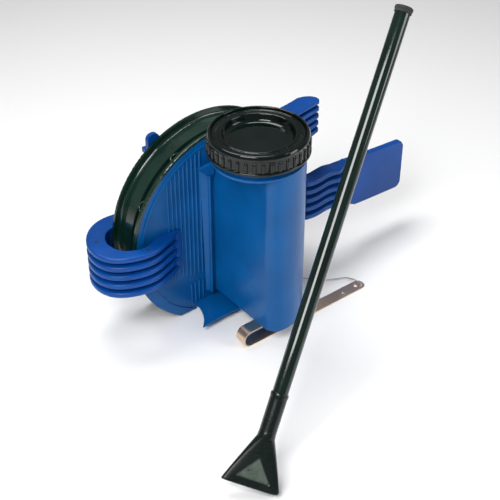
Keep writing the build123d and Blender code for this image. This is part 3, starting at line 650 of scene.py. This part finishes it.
class Pattern:
    """A geometry-node tree that copies one piece round a ring or up a stack."""

    def __init__(self, layout: Layout) -> None:
        """Builds the tree with named inputs for its sizes."""
        self.tree = bpy.data.node_groups.new(f"pattern_{layout.value}", "GeometryNodeTree")
        self.ids: dict[str, str] = {}
        for name, kind in (("Piece", "Object"), ("Count", "Int"), ("Radius", "Float"), ("Pitch", "Float"),
                           ("Height", "Float"), ("Finish", "Material")):
            self.ids[name] = self.socket(name, kind, "INPUT")
        self.socket("Geometry", "Geometry", "OUTPUT")
        source = self.node("NodeGroupInput")
        target = self.node("NodeGroupOutput")
        piece = self.node("GeometryNodeObjectInfo")
        self.link(source.outputs["Piece"], piece.inputs["Object"])
        spread = self.node("GeometryNodeInstanceOnPoints")
        self.link(piece.outputs["Geometry"], spread.inputs["Instance"])
        self.link(self.points(layout, source), spread.inputs["Points"])
        if layout is Layout.RING:
            self.link(self.outward(), spread.inputs["Rotation"])
        real = self.node("GeometryNodeRealizeInstances")
        dress = self.node("GeometryNodeSetMaterial")
        self.link(spread.outputs["Instances"], real.inputs["Geometry"])
        self.link(real.outputs["Geometry"], dress.inputs["Geometry"])
        self.link(source.outputs["Finish"], dress.inputs["Material"])
        self.link(dress.outputs["Geometry"], target.inputs["Geometry"])

    def node(self, kind: str) -> bpy.types.Node:
        """Adds a node to the tree."""
        return self.tree.nodes.new(kind)

    def link(self, start: bpy.types.NodeSocket, end: bpy.types.NodeSocket) -> None:
        """Links two sockets."""
        self.tree.links.new(start, end)

    def socket(self, name: str, kind: str, side: str) -> str:
        """Adds a socket to the tree's interface.

        Args:
            name: its name.
            kind: its kind.
            side: INPUT or OUTPUT.

        Returns:
            Its identifier.
        """
        made = self.tree.interface.new_socket(name=name, in_out=side, socket_type=f"NodeSocket{kind}")
        return made.identifier

    def points(self, layout: Layout, source: bpy.types.Node) -> bpy.types.NodeSocket:
        """The points that the copies stand on.

        Args:
            layout: ring or stack.
            source: the tree's input node.

        Returns:
            The socket that gives the points.
        """
        lift = self.node("ShaderNodeCombineXYZ")
        self.link(source.outputs["Height"], lift.inputs["Z"])
        if layout is Layout.STACK:
            line = self.node("GeometryNodeMeshLine")
            pitch = self.node("ShaderNodeCombineXYZ")
            self.link(source.outputs["Pitch"], pitch.inputs["Z"])
            self.link(source.outputs["Count"], line.inputs["Count"])
            self.link(lift.outputs[0], line.inputs["Start Location"])
            self.link(pitch.outputs[0], line.inputs["Offset"])
            return line.outputs["Mesh"]
        circle = self.node("GeometryNodeMeshCircle")
        self.link(source.outputs["Count"], circle.inputs["Vertices"])
        self.link(source.outputs["Radius"], circle.inputs["Radius"])
        raised = self.node("GeometryNodeTransform")
        self.link(circle.outputs["Mesh"], raised.inputs["Geometry"])
        self.link(lift.outputs[0], raised.inputs["Translation"])
        return raised.outputs["Geometry"]

    def outward(self) -> bpy.types.NodeSocket:
        """A rotation that turns each copy's X axis away from the ring's axis."""
        position = self.node("GeometryNodeInputPosition")
        flat = self.node("ShaderNodeVectorMath")
        flat.operation = "MULTIPLY"
        flat.inputs[1].default_value = (1.0, 1.0, 0.0)
        turn = self.node("FunctionNodeAlignRotationToVector")
        turn.axis = "X"
        turn.pivot_axis = "Z"
        self.link(position.outputs[0], flat.inputs[0])
        self.link(flat.outputs[0], turn.inputs["Vector"])
        return turn.outputs[0]

    def copies(self, name: str, piece: bpy.types.Object, slot: str, **sizes: float) -> bpy.types.Object:
        """Runs the tree on a piece.

        Args:
            name: the new object's name.
            piece: the piece to copy, which is used up.
            slot: the finish's slot.
            **sizes: Count, Radius, Pitch and Height, as the layout needs.

        Returns:
            A plain mesh object with every copy.
        """
        host = bpy.data.objects.new(name, bpy.data.meshes.new(name))
        bpy.context.scene.collection.objects.link(host)
        run = host.modifiers.new("pattern", "NODES")
        run.node_group = self.tree
        run[self.ids["Piece"]] = piece
        run[self.ids["Finish"]] = PALETTE.of(slot)
        for key, value in sizes.items():
            run[self.ids[key]] = value
        settled(host)
        bpy.data.objects.remove(piece)
        host.data.shade_smooth()
        return host


RING = Pattern(Layout.RING)
STACK = Pattern(Layout.STACK)


def dress(piece: bpy.types.Object, body: str, slot: str, *nodes: str) -> bpy.types.Object:
    """Gives a piece its finish and its body.

    Args:
        piece: the object.
        body: the CAD body it rides on.
        slot: the record's material slot.
        *nodes: the CAD nodes it stands for.

    Returns:
        The same object.
    """
    piece.data.materials.clear()
    piece.data.materials.append(PALETTE.of(slot))
    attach(piece, body)
    if nodes:
        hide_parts(*nodes)
    log.info("%s rides on %s in %s, %d faces", piece.name, body, slot, len(piece.data.polygons))
    return piece


# ---- canister, basket and everything that keeps its own shape -----------------------------------
class CarriedNodes:
    """CAD nodes whose shape is right: each one gets its slot's material."""

    def build(self) -> None:
        """Assigns the materials."""
        slots = {part["node"]: part["material_slot"] for part in frame["record"]["subparts"]}
        for name, node in frame["nodes"].items():
            for place in node.material_slots:
                place.material = PALETTE.of(slots[name])
        log.info("%d CAD nodes dressed", len(frame["nodes"]))


# ---- lid ----------------------------------------------------------------------------------------
@dataclass
class Lid:
    """Knurled ring, dished disc and the ring of plain marks between them."""

    bottom: float = 0.411
    top: float = 0.454
    root_r: float = 0.104
    lip_r: float = 0.1078
    hole_r: float = 0.097
    knurls: int = 38
    knurl_r: float = 0.0040
    marks: int = 54
    mark_r: float = 0.0865

    def ring_profile(self) -> list[tuple[float, float]]:
        """Section of the ring with its rounded lips."""
        corners = [(0.0942, self.bottom, 0.0004), (self.lip_r, self.bottom, 0.0016),
                   (self.lip_r, self.bottom + 0.005, 0.0018), (self.root_r, self.bottom + 0.0065, 0.001),
                   (self.root_r, self.top - 0.011, 0.002), (self.root_r + 0.0012, self.top - 0.007, 0.002),
                   (self.root_r - 0.002, self.top, 0.005), (self.hole_r, self.top, 0.003),
                   (self.hole_r, 0.4464, 0.0006), (0.0998, 0.4464, 0), (0.0998, 0.4387, 0),
                   (0.0942, 0.4387, 0)]
        return rounded_profile(corners, 5)

    def knurl(self) -> bpy.types.Object:
        """One upright knurl with rounded ends."""
        length = self.top - 0.0125 - (self.bottom + 0.0035)
        middle = Vector((0, 0, self.bottom + 0.0035 + length / 2))
        sections = []
        for step in range(9):
            height = -1 + step / 4
            swell = sqrt(max(0.0, 1 - abs(height) ** 6))
            radius = max(self.knurl_r * swell, 0.0002)
            centre = middle + Vector((0, 0, height * length / 2))
            sections.append([centre + Vector((radius * 0.9 * cos(a), radius * sin(a), 0))
                             for a in (2 * pi * k / 12 for k in range(12))])
        return loft("knurl", sections)

    def disc_profile(self) -> list[tuple[float, float]]:
        """Section of the dished disc from its outer edge to the axis."""
        corners = [(0.0005, 0.430, 0), (0.074, 0.430, 0.002), (0.077, 0.4335, 0.001), (0.077, 0.439, 0.0005),
                   (0.0994, 0.439, 0.0006), (0.0994, 0.446, 0.001), (0.0955, 0.446, 0.0006),
                   (0.0950, 0.4500, 0.0018), (0.0915, 0.4500, 0.0012), (0.0905, 0.4484, 0.0008),
                   (0.0815, 0.4484, 0.0008), (0.0800, 0.4502, 0.0010), (0.0755, 0.4502, 0.0022),
                   (0.0712, 0.4365, 0.0030), (0.0660, 0.4335, 0.0040), (0.0005, 0.4326, 0)]
        return rounded_profile(corners, 4)

    def build(self) -> None:
        """Builds the lid's pieces."""
        ring = evened(lathe("lid_knurled_ring", self.ring_profile(), 168))
        dress(ring, "lid_ring", "lid_black", "lid_ring")
        knurls = RING.copies("lid_knurls", self.knurl(), "lid_black", Count=self.knurls, Radius=self.root_r)
        dress(knurls, "lid_ring", "lid_black")
        disc = evened(lathe("lid_dished_disc", self.disc_profile(), 144))
        dress(disc, "lid_disc", "lid_black", "lid_disc")
        outline = [(-0.0024, -0.0009), (0.0024, -0.0009), (0.0024, 0.0009), (-0.0024, 0.0009)]
        mark = softened(prism("mark", outline, 0.4481, 0.4491), 0.0003, 2)
        marks = RING.copies("lid_marks", mark, "lid_black", Count=self.marks, Radius=self.mark_r)
        dress(marks, "lid_disc", "lid_black")


# ---- drum ---------------------------------------------------------------------------------------
@dataclass
class RimWells:
    """Rounded bead along the top of each U-shaped screw well in the rim's trough."""

    count: int = 12
    reach: float = 0.2362
    bend_r: float = 0.0115
    bead_r: float = 0.0018
    front_y: float = 0.126
    lowest_z: float = 0.010

    def bead(self) -> bpy.types.Object:
        """Half a turn of bead, its open side towards the front lip."""
        sections = []
        for step in range(25):
            angle = pi * step / 24
            outward = Vector((0, cos(angle), sin(angle)))
            loop = []
            for k in range(12):
                turn = 2 * pi * k / 12
                side = Vector((self.bead_r * cos(turn), 0, 0))
                loop.append(outward * (self.bend_r + self.bead_r * sin(turn)) + side)
            sections.append(loop)
        return loft("bead", sections)

    def build(self) -> None:
        """Places a bead on each well above the flat foot."""
        beads = RING.copies("rim_well_beads", self.bead(), "rim_black", Count=self.count, Radius=self.reach)
        stand = Matrix.Translation((0, self.front_y, DRUM_Z)) @ Matrix.Rotation(-pi / 2, 4, "X")
        beads.data.transform(stand)
        work = bmesh.new()
        work.from_mesh(beads.data)
        low = [v for v in work.verts if v.co.z < self.lowest_z]
        bmesh.ops.delete(work, geom=low, context="VERTS")
        work.to_mesh(beads.data)
        work.free()
        dress(beads, "housing", "rim_black")


# ---- straps -------------------------------------------------------------------------------------
@dataclass
class FinStack:
    """The sizes that every finned strap shares."""

    count: int = 5
    height: float = 0.104
    thickness: float = 0.013

    @property
    def pitch(self) -> float:
        """Distance between neighbouring fins."""
        return (self.height - self.thickness) / (self.count - 1)


FINS = FinStack()
UPPER_FINS = FinStack(height=0.084, thickness=0.0105)


@dataclass
class LeftStrap:
    """Strap closed round the rim's left edge, with a tab on each cover."""

    centre: tuple[float, float] = (-0.222, 0.158)
    outer_r: float = 0.094
    front_r: float = 0.0787
    hole_r: float = 0.052
    web: float = 0.008
    top: float = 0.203
    tab_start: float = -0.186
    root_end: float = -0.130
    tab_end: float = -0.124
    edge_r: float = 0.0042
    # place along X and depth in front of the cover
    wedge: tuple[tuple[float, float], ...] = ((-0.200, 0.0275), (-0.172, 0.0265), (-0.154, 0.0195),
                                              (-0.138, 0.0088), (-0.130, 0.0062), (-0.110, 0.006))
    plug_spots: tuple[tuple[float, float], ...] = ((-0.220, 0.092), (-0.290, 0.184))
    plug_r: float = 0.0034

    def arc_loops(self, outer_r: float, front_r: float, low: float, high: float, radius: float) -> list[Loop]:
        """Sections of a band round the rim's edge, cut flush with both covers.

        Args:
            outer_r: the band's outer radius to the side and behind.
            front_r: its outer radius straight in front.
            low: its underside.
            high: its top.
            radius: rounding of its edges.

        Returns:
            The sections from the front cover to the rear one.
        """
        cx, cy = self.centre
        loops = []
        steps = 56
        bounds = []
        for reach, front in ((self.hole_r, self.hole_r), (outer_r, front_r)):
            start = -asin((cy - COVER_FRONT_Y) / front)
            stop = asin((COVER_REAR_Y - cy) / reach) - 2 * pi
            bounds.append((reach, front, start, stop))
        for step in range(steps + 1):
            t = step / steps
            rim = []
            for reach, front, start, stop in bounds:
                angle = start + (stop - start) * t
                depth = front if sin(angle) < 0 else reach
                rim.append(Vector((cx + reach * cos(angle), cy + depth * sin(angle), 0)))
            across = rim[1] - rim[0]
            wobble = 0.0006 * sin(9 * pi * t)
            middle = (rim[0] + rim[1]) / 2 + Vector((0, 0, (low + high) / 2 + wobble))
            half = (across.length / 2, (high - low) / 2)
            loops.append(rounded_loop(middle, across.normalized(), Vector((0, 0, 1)), half, radius))
        return loops

    def wedge_depth(self, x: float) -> float:
        """How far the tab stands in front of the cover at x."""
        for (x0, d0), (x1, d1) in zip(self.wedge, self.wedge[1:]):
            if x <= x1:
                t = max(0.0, (x - x0) / (x1 - x0))
                return d0 + (d1 - d0) * t
        return self.wedge[-1][1]

    def web_setback(self, x: float) -> float:
        """How far the web between the tab's fins stays behind them at x."""
        return 0.0130 * min(1.0, max(0.0, (-0.132 - x) / 0.045)) ** 0.8

    def tab_loops(self, end: float, low: float, high: float, shy: Callable[[float], float]) -> list[Loop]:
        """Sections of the front tab between two places along X.

        Args:
            end: last place.
            low: underside.
            high: top.
            shy: how far the surface stays behind the full depth, for each place.

        Returns:
            The sections.
        """
        loops = []
        for step in range(25):
            x = self.tab_start + (end - self.tab_start) * step / 24
            depth = max(0.003, self.wedge_depth(x) - shy(x))
            loops.append(cover_loop(x, depth, low, high, 0.0025))
        return loops

    def rear_tab(self, low: float) -> bpy.types.Object:
        """The plate that lies on the rear cover."""
        y = COVER_REAR_Y
        outline = [(-0.200, y), (self.tab_end, y), (self.tab_end, y + 0.008), (-0.150, y + 0.009),
                   (-0.182, y + 0.026), (-0.200, y + 0.030)]
        return softened(prism("rear_tab", outline, low, self.top), 0.0025)

    def plug(self, x: float, y: float) -> bpy.types.Object:
        """A dark plug in the strap's top at x, y."""
        corners = [(0.0003, -0.002, 0), (self.plug_r, -0.002, 0), (self.plug_r, 0.0006, 0.0005),
                   (0.0003, 0.0009, 0)]
        made = lathe("plug", rounded_profile(corners), 24)
        made.data.transform(Matrix.Translation((x, y, self.top)))
        return made

    def build(self) -> None:
        """Builds the strap as one piece, with its two dark plugs."""
        low = self.top - FINS.height
        fin_top = low + FINS.thickness
        fin = loft("fin", self.arc_loops(self.outer_r, self.front_r, low, fin_top, self.edge_r))
        root = loft("root", self.tab_loops(self.root_end, low, fin_top, lambda x: 0.0))
        one = joined("left_fin", [fin, root])
        fins = STACK.copies("left_fins", one, "strap_plastic", Count=FINS.count, Pitch=FINS.pitch)
        web_r = self.hole_r + self.web
        web = loft("web", self.arc_loops(web_r, web_r, low + 0.001, self.top - 0.001, 0.003))
        sunk = self.tab_loops(self.tab_end, low + 0.0006, self.top - 0.0006, self.web_setback)
        filler = loft("filler", sunk)
        strap = joined("left_loop_strap", [fins, web, filler, self.rear_tab(low)])
        dress(evened(strap, 60), "housing", "strap_plastic", "left_strap")
        plugs = [self.plug(x, y) for x, y in self.plug_spots]
        dress(joined("left_strap_plugs", plugs), "housing", "soft_rubber")


@dataclass
class RightStrap:
    """Finned strap on the front cover that runs out into a flat paddle."""

    start: float = 0.150
    fin_start: float = 0.172
    fin_end: float = 0.352
    hinge_x: float = 0.292
    tip: float = 0.533
    top: float = 0.203
    paddle: float = 0.016
    flex: float = 0.026

    def depth(self, x: float) -> float:
        """How far the fins stand in front of the cover at x."""
        rise = min(1.0, max(0.0, (x - self.fin_start) / 0.040))
        fall = min(1.0, max(0.0, (self.fin_end - x) / 0.050))
        rise = rise * rise * (3 - 2 * rise)
        fall = fall * fall * (3 - 2 * fall)
        return 0.008 + 0.030 * rise * fall + (0.008 * (1 - fall) if x > self.hinge_x else 0.0)

    def wave(self, x: float) -> float:
        """The slow wave that the fins follow."""
        return 0.0022 * sin((x - self.fin_start) * 2 * pi / 0.085)

    def fin(self) -> bpy.types.Object:
        """The lowest fin."""
        low = self.top - FINS.height
        loops = []
        for step in range(61):
            x = self.fin_start - 0.004 + (self.fin_end - self.fin_start) * step / 60
            depth = self.depth(x)
            half = FINS.thickness / 2
            shrink = 0.0 if step < 60 else 0.002
            drop = self.sag(x)
            middle = low + half + self.wave(x) + drop
            loops.append(cover_loop(x, depth, middle - half + shrink, middle + half - shrink, 0.004))
        return loft("right_fin", loops)

    def sag(self, x: float) -> float:
        """How much the whole strap drops towards its paddle."""
        return -0.004 * max(0.0, (x - 0.25) / 0.11) ** 2 if x > 0.25 else 0.0

    def height_range(self, x: float) -> tuple[float, float]:
        """Lowest and highest point of the web and the paddle at x."""
        low = self.top - FINS.height
        high = self.top - 0.002 - 0.013 * max(0.0, (x - 0.308) / (self.tip - 0.308))
        if x > 0.308:
            drop = min(1.0, (x - 0.308) / 0.074)
            low = low - 0.039 * drop - 0.006 * max(0.0, (x - 0.382) / (self.tip - 0.382))
        corner = 0.016
        past = x - (self.tip - corner)
        if past > 0:
            inset = corner - sqrt(max(0.0, corner ** 2 - past ** 2))
            low += inset
            high -= inset
        return low, high

    def web(self) -> bpy.types.Object:
        """The web and the paddle in one sheet."""
        loops = []
        stations = [self.start + (self.tip - 0.016 - self.start) * k / 70 for k in range(71)]
        stations += [self.tip - 0.016 + 0.016 * sin(pi / 2 * k / 10) for k in range(1, 10)]
        for x in stations:
            low, high = self.height_range(x)
            depth = 0.008 if x < 0.300 else 0.008 + (self.paddle - 0.008) * min(1.0, (x - 0.300) / 0.045)
            crown = 0.0012 * sin(pi * min(1.0, max(0.0, (x - 0.35) / 0.19)))
            loops.append(cover_loop(x, depth, low, high, 0.0038, crown, 4))
        return loft("right_web", loops)

    def build(self) -> None:
        """Builds the strap as one rigid piece in place."""
        fins = STACK.copies("right_fins", self.fin(), "strap_plastic", Count=FINS.count, Pitch=FINS.pitch)
        strap = evened(joined("right_paddle_strap", [fins, self.web()]), 60)
        strap.data.materials.clear()
        strap.data.materials.append(PALETTE.of("strap_plastic"))
        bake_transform(strap)
        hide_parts("right_strap_root", "right_strap_paddle")
        log.info("%s bends from housing to paddle", strap.name)


@dataclass
class UpperRightStrap:
    """Short finned strap on the rim's upper right."""

    top: float = 0.358
    low_y: float = 0.122
    root_x: float = 0.152
    rim_r: float = 0.2404

    def plan(self, inner: bool) -> list[tuple[float, float]]:
        """Outline of a fin or, inside it, of the web."""
        y = self.low_y
        root = self.root_x
        if inner:
            return [(root, y + 0.036), (0.266, y + 0.050), (0.290, y + 0.034), (0.297, y + 0.042),
                    (0.284, y + 0.060), (0.262, y + 0.066), (root, y + 0.050)]
        return [(root, y), (0.294, y + 0.026), (0.300, y + 0.034), (0.300, y + 0.044), (0.292, y + 0.056),
                (0.280, y + 0.064), (0.262, y + 0.068), (0.206, y + 0.056), (root, y + 0.050)]

    def build(self) -> None:
        """Builds the strap, trimmed where the rim runs through it."""
        low = self.top - UPPER_FINS.height
        fin = softened(prism("fin", self.plan(False), low, low + UPPER_FINS.thickness), 0.0035)
        fins = STACK.copies("upper_fins", fin, "strap_plastic", Count=UPPER_FINS.count, Pitch=UPPER_FINS.pitch)
        web = softened(prism("web", self.plan(True), low + 0.001, self.top - 0.001), 0.002)
        strap = joined("upper_right_fin_strap", [fins, web])
        self.clear_of_rim(strap)
        dress(strap, "housing", "strap_plastic", "upper_right_strap")

    def clear_of_rim(self, strap: bpy.types.Object) -> None:
        """Moves the points that lie inside the rim's round out to it.

        Args:
            strap: the object, changed in place.
        """
        for vertex in strap.data.vertices:
            x, z = vertex.co.x, vertex.co.z - DRUM_Z
            reach = hypot(x, z)
            if reach < self.rim_r:
                vertex.co.x = max(x, sqrt(self.rim_r ** 2 - z * z))


# ---- wand ---------------------------------------------------------------------------------------
@dataclass
class Nozzle:
    """Flat triangular nozzle with sunk faces, blown in one piece with its socket."""

    foot: Point = (-0.329, -0.393, -0.020)
    lean: float = 50.0
    heading: float = 23.5
    width: float = 0.116
    length: float = 0.100
    thickness: float = 0.020
    socket_r: float = 0.017
    socket: float = 0.086
    bore_r: float = 0.0135
    seat_r: float = 0.01562
    corner: float = 0.009
    round_side: int = -1
    sunk: float = 0.0032
    steps: int = 192

    def axes(self) -> tuple[Vector, Vector, Vector]:
        """Unit vectors across the mouth, through its thickness and up the wand."""
        lean, heading = radians(self.lean), radians(self.heading)
        up = Vector((cos(lean) * cos(heading), cos(lean) * sin(heading), sin(lean)))
        across = -up.cross(Vector((-0.495, -0.633, 0.595))).normalized()
        return across, up.cross(across), up

    def angles(self) -> list[float]:
        """Where a section's points lie round its middle."""
        return [2 * pi * (k + 0.5) / self.steps for k in range(self.steps)]

    def section(self, t: float, shrink: float) -> Loop:
        """One section, at t metres above the mouth.

        Args:
            t: height above the mouth.
            shrink: how far inside the outer surface.

        Returns:
            Its points.
        """
        across, through, up = self.axes()
        share = min(1.0, t / self.length)
        ease = share ** 1.05
        half_w = self.width / 2 + (self.socket_r - self.width / 2) * ease
        half_t = self.thickness / 2 + (self.socket_r - self.thickness / 2) * share ** 2.2
        squareness = 5.0 + (2.0 - 5.0) * min(1.0, share ** 1.5)
        if t > self.length:
            past = (t - self.length) / self.socket
            swell = 0.0010 * max(0.0, 1 - abs(past - 0.95) / 0.06) + 0.0007 * max(0.0, 1 - past / 0.12)
            half_w = half_t = self.socket_r + swell
        loop = []
        for angle in self.angles():
            c, s = cos(angle), sin(angle)
            reach = (abs(c) ** squareness + abs(s) ** squareness) ** (-1 / squareness)
            x = (half_w - shrink) * reach * c
            y = (half_t - shrink) * reach * s
            if shrink < 0.001:
                y -= (1 if y > 0 else -1) * self.sink(x, t, half_w)
            if t < self.corner and x * self.round_side > 0:
                inset = self.corner - sqrt(self.corner ** 2 - (self.corner - t) ** 2)
                x *= 1 - inset / half_w
            loop.append(Vector(self.foot) + across * x + through * y + up * t)
        return loop

    def sink(self, x: float, t: float, half_w: float) -> float:
        """Depth of the sunk triangle at a place on the face."""
        edge = min(0.034 - 0.76 * (t - 0.014) - abs(x), t - 0.014, half_w - 0.008 - abs(x))
        step = min(1.0, max(0.0, edge / 0.0022))
        return self.sunk * step * step * (3 - 2 * step)

    def mark_pale_sunk(self, nozzle: bpy.types.Object) -> None:
        """Writes a UV map whose first value is 1 in the sunk triangles and 0 elsewhere."""
        across, through, up = self.axes()
        # this map marks the sunk triangles that get the paler colour
        layer = nozzle.data.uv_layers.new(name="worn")
        shares = []
        for vertex in nozzle.data.vertices:
            local = vertex.co - Vector(self.foot)
            x, y, t = local.dot(across), local.dot(through), local.dot(up)
            half_w = self.width / 2 * (1 - min(1.0, max(0.0, t) / self.length)) + self.socket_r
            outside = abs(y) > self.thickness / 2 - self.sunk - 0.0002
            shares.append(self.sink(x, t, half_w) / self.sunk if outside and 0 < t < self.length else 0.0)
        for loop in nozzle.data.loops:
            layer.data[loop.index].uv = (shares[loop.vertex_index], 0.5)

    def build(self) -> None:
        """Builds the nozzle with its hollow."""
        total = self.length + self.socket
        rises = [0.0, 0.0008, 0.002] + [0.004 + 0.002 * k for k in range(48)]
        rises += [self.length + self.socket * k / 26 for k in range(1, 26)]
        outer = [self.section(t, 0.0012 if t == 0 else (0.0003 if t < 0.001 else 0.0)) for t in rises]
        outer += [self.section(total - 0.0008, 0.0), self.section(total, 0.0006)]
        inner = []
        across, through, up = self.axes()
        for t in (total, self.length + 0.030, self.length + 0.0299, self.length):
            radius = self.seat_r if t > self.length + 0.02995 else self.bore_r
            inner.append([Vector(self.foot) + up * t + across * radius * cos(a) + through * radius * sin(a)
                          for a in self.angles()])
        inner += [self.section(t, 0.0036) for t in (0.080, 0.060, 0.040, 0.020, 0.008, 0.0)]
        nozzle = loft("wand_flat_nozzle", outer + inner, closed=True)
        self.mark_pale_sunk(nozzle)
        dress(evened(nozzle, 50), "nozzle", "nozzle_black", "wand_nozzle")


# ---- studio -------------------------------------------------------------------------------------
@dataclass
class Studio:
    """Pale floor, soft lights and the camera."""

    place: Point = (-1.200, -1.508, 1.582)
    tilt: float = 53.5
    turn: float = -38.0
    lens: float = 79.9
    floor_reach: float = 6.0
    world_strength: float = 0.20

    def camera(self) -> None:
        """Places the camera."""
        data = bpy.data.cameras.new("camera")
        data.lens = self.lens
        data.sensor_width = 36.0
        made = bpy.data.objects.new("camera", data)
        made.location = self.place
        made.rotation_euler = Euler((radians(self.tilt), 0.0, radians(self.turn)))
        bpy.context.scene.collection.objects.link(made)
        bpy.context.scene.camera = made

    def light(self, name: str, place: Point, aim: Point, size: tuple[float, float], power: float) -> None:
        """Adds one soft box.

        Args:
            name: its name.
            place: where it stands.
            aim: what it points at.
            size: its width and height.
            power: watts.
        """
        data = bpy.data.lights.new(name, "AREA")
        data.shape = "RECTANGLE"
        data.size, data.size_y = size
        data.energy = power
        made = bpy.data.objects.new(name, data)
        made.location = place
        made.rotation_euler = (Vector(aim) - Vector(place)).to_track_quat("-Z", "Y").to_euler()
        bpy.context.scene.collection.objects.link(made)

    def build(self) -> None:
        """Builds the studio."""
        self.camera()
        scene = bpy.context.scene
        scene.view_settings.view_transform = "Standard"
        world = scene.world or bpy.data.worlds.new("studio")
        scene.world = world
        world.use_nodes = True
        background = world.node_tree.nodes["Background"]
        background.inputs["Color"].default_value = (1.0, 1.0, 1.0, 1.0)
        background.inputs["Strength"].default_value = self.world_strength
        self.light("key", (-1.7, -0.9, 2.1), (0, 0.05, 0.2), (1.3, 1.3), 66.0)
        self.light("fill", (1.5, -2.0, 1.4), (0, 0, 0.2), (1.2, 1.6), 30.0)
        self.light("top", (0.1, 0.9, 2.3), (0, 0.1, 0.2), (1.6, 0.8), 34.0)
        reach = self.floor_reach
        corners = ((-reach, -reach), (reach, -reach), (reach, reach), (-reach, reach))
        floor = mesh_object("floor", [Vector((x, y, FLOOR_Z - 0.0003)) for x, y in corners], [(0, 1, 2, 3)])
        floor.data.materials.append(PaleFloor().material())
        log.info("studio is set")


def main() -> None:
    """Builds every part of the cleaner in order."""
    logging.basicConfig(level=logging.INFO, format="%(name)s: %(message)s")
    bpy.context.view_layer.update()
    parts = (CarriedNodes(), Lid(), RimWells(), LeftStrap(), RightStrap(), UpperRightStrap(), Nozzle(),
             Studio())
    for part in parts:
        part.build()
    bpy.context.view_layer.update()


if __name__ == "__main__":
    main()
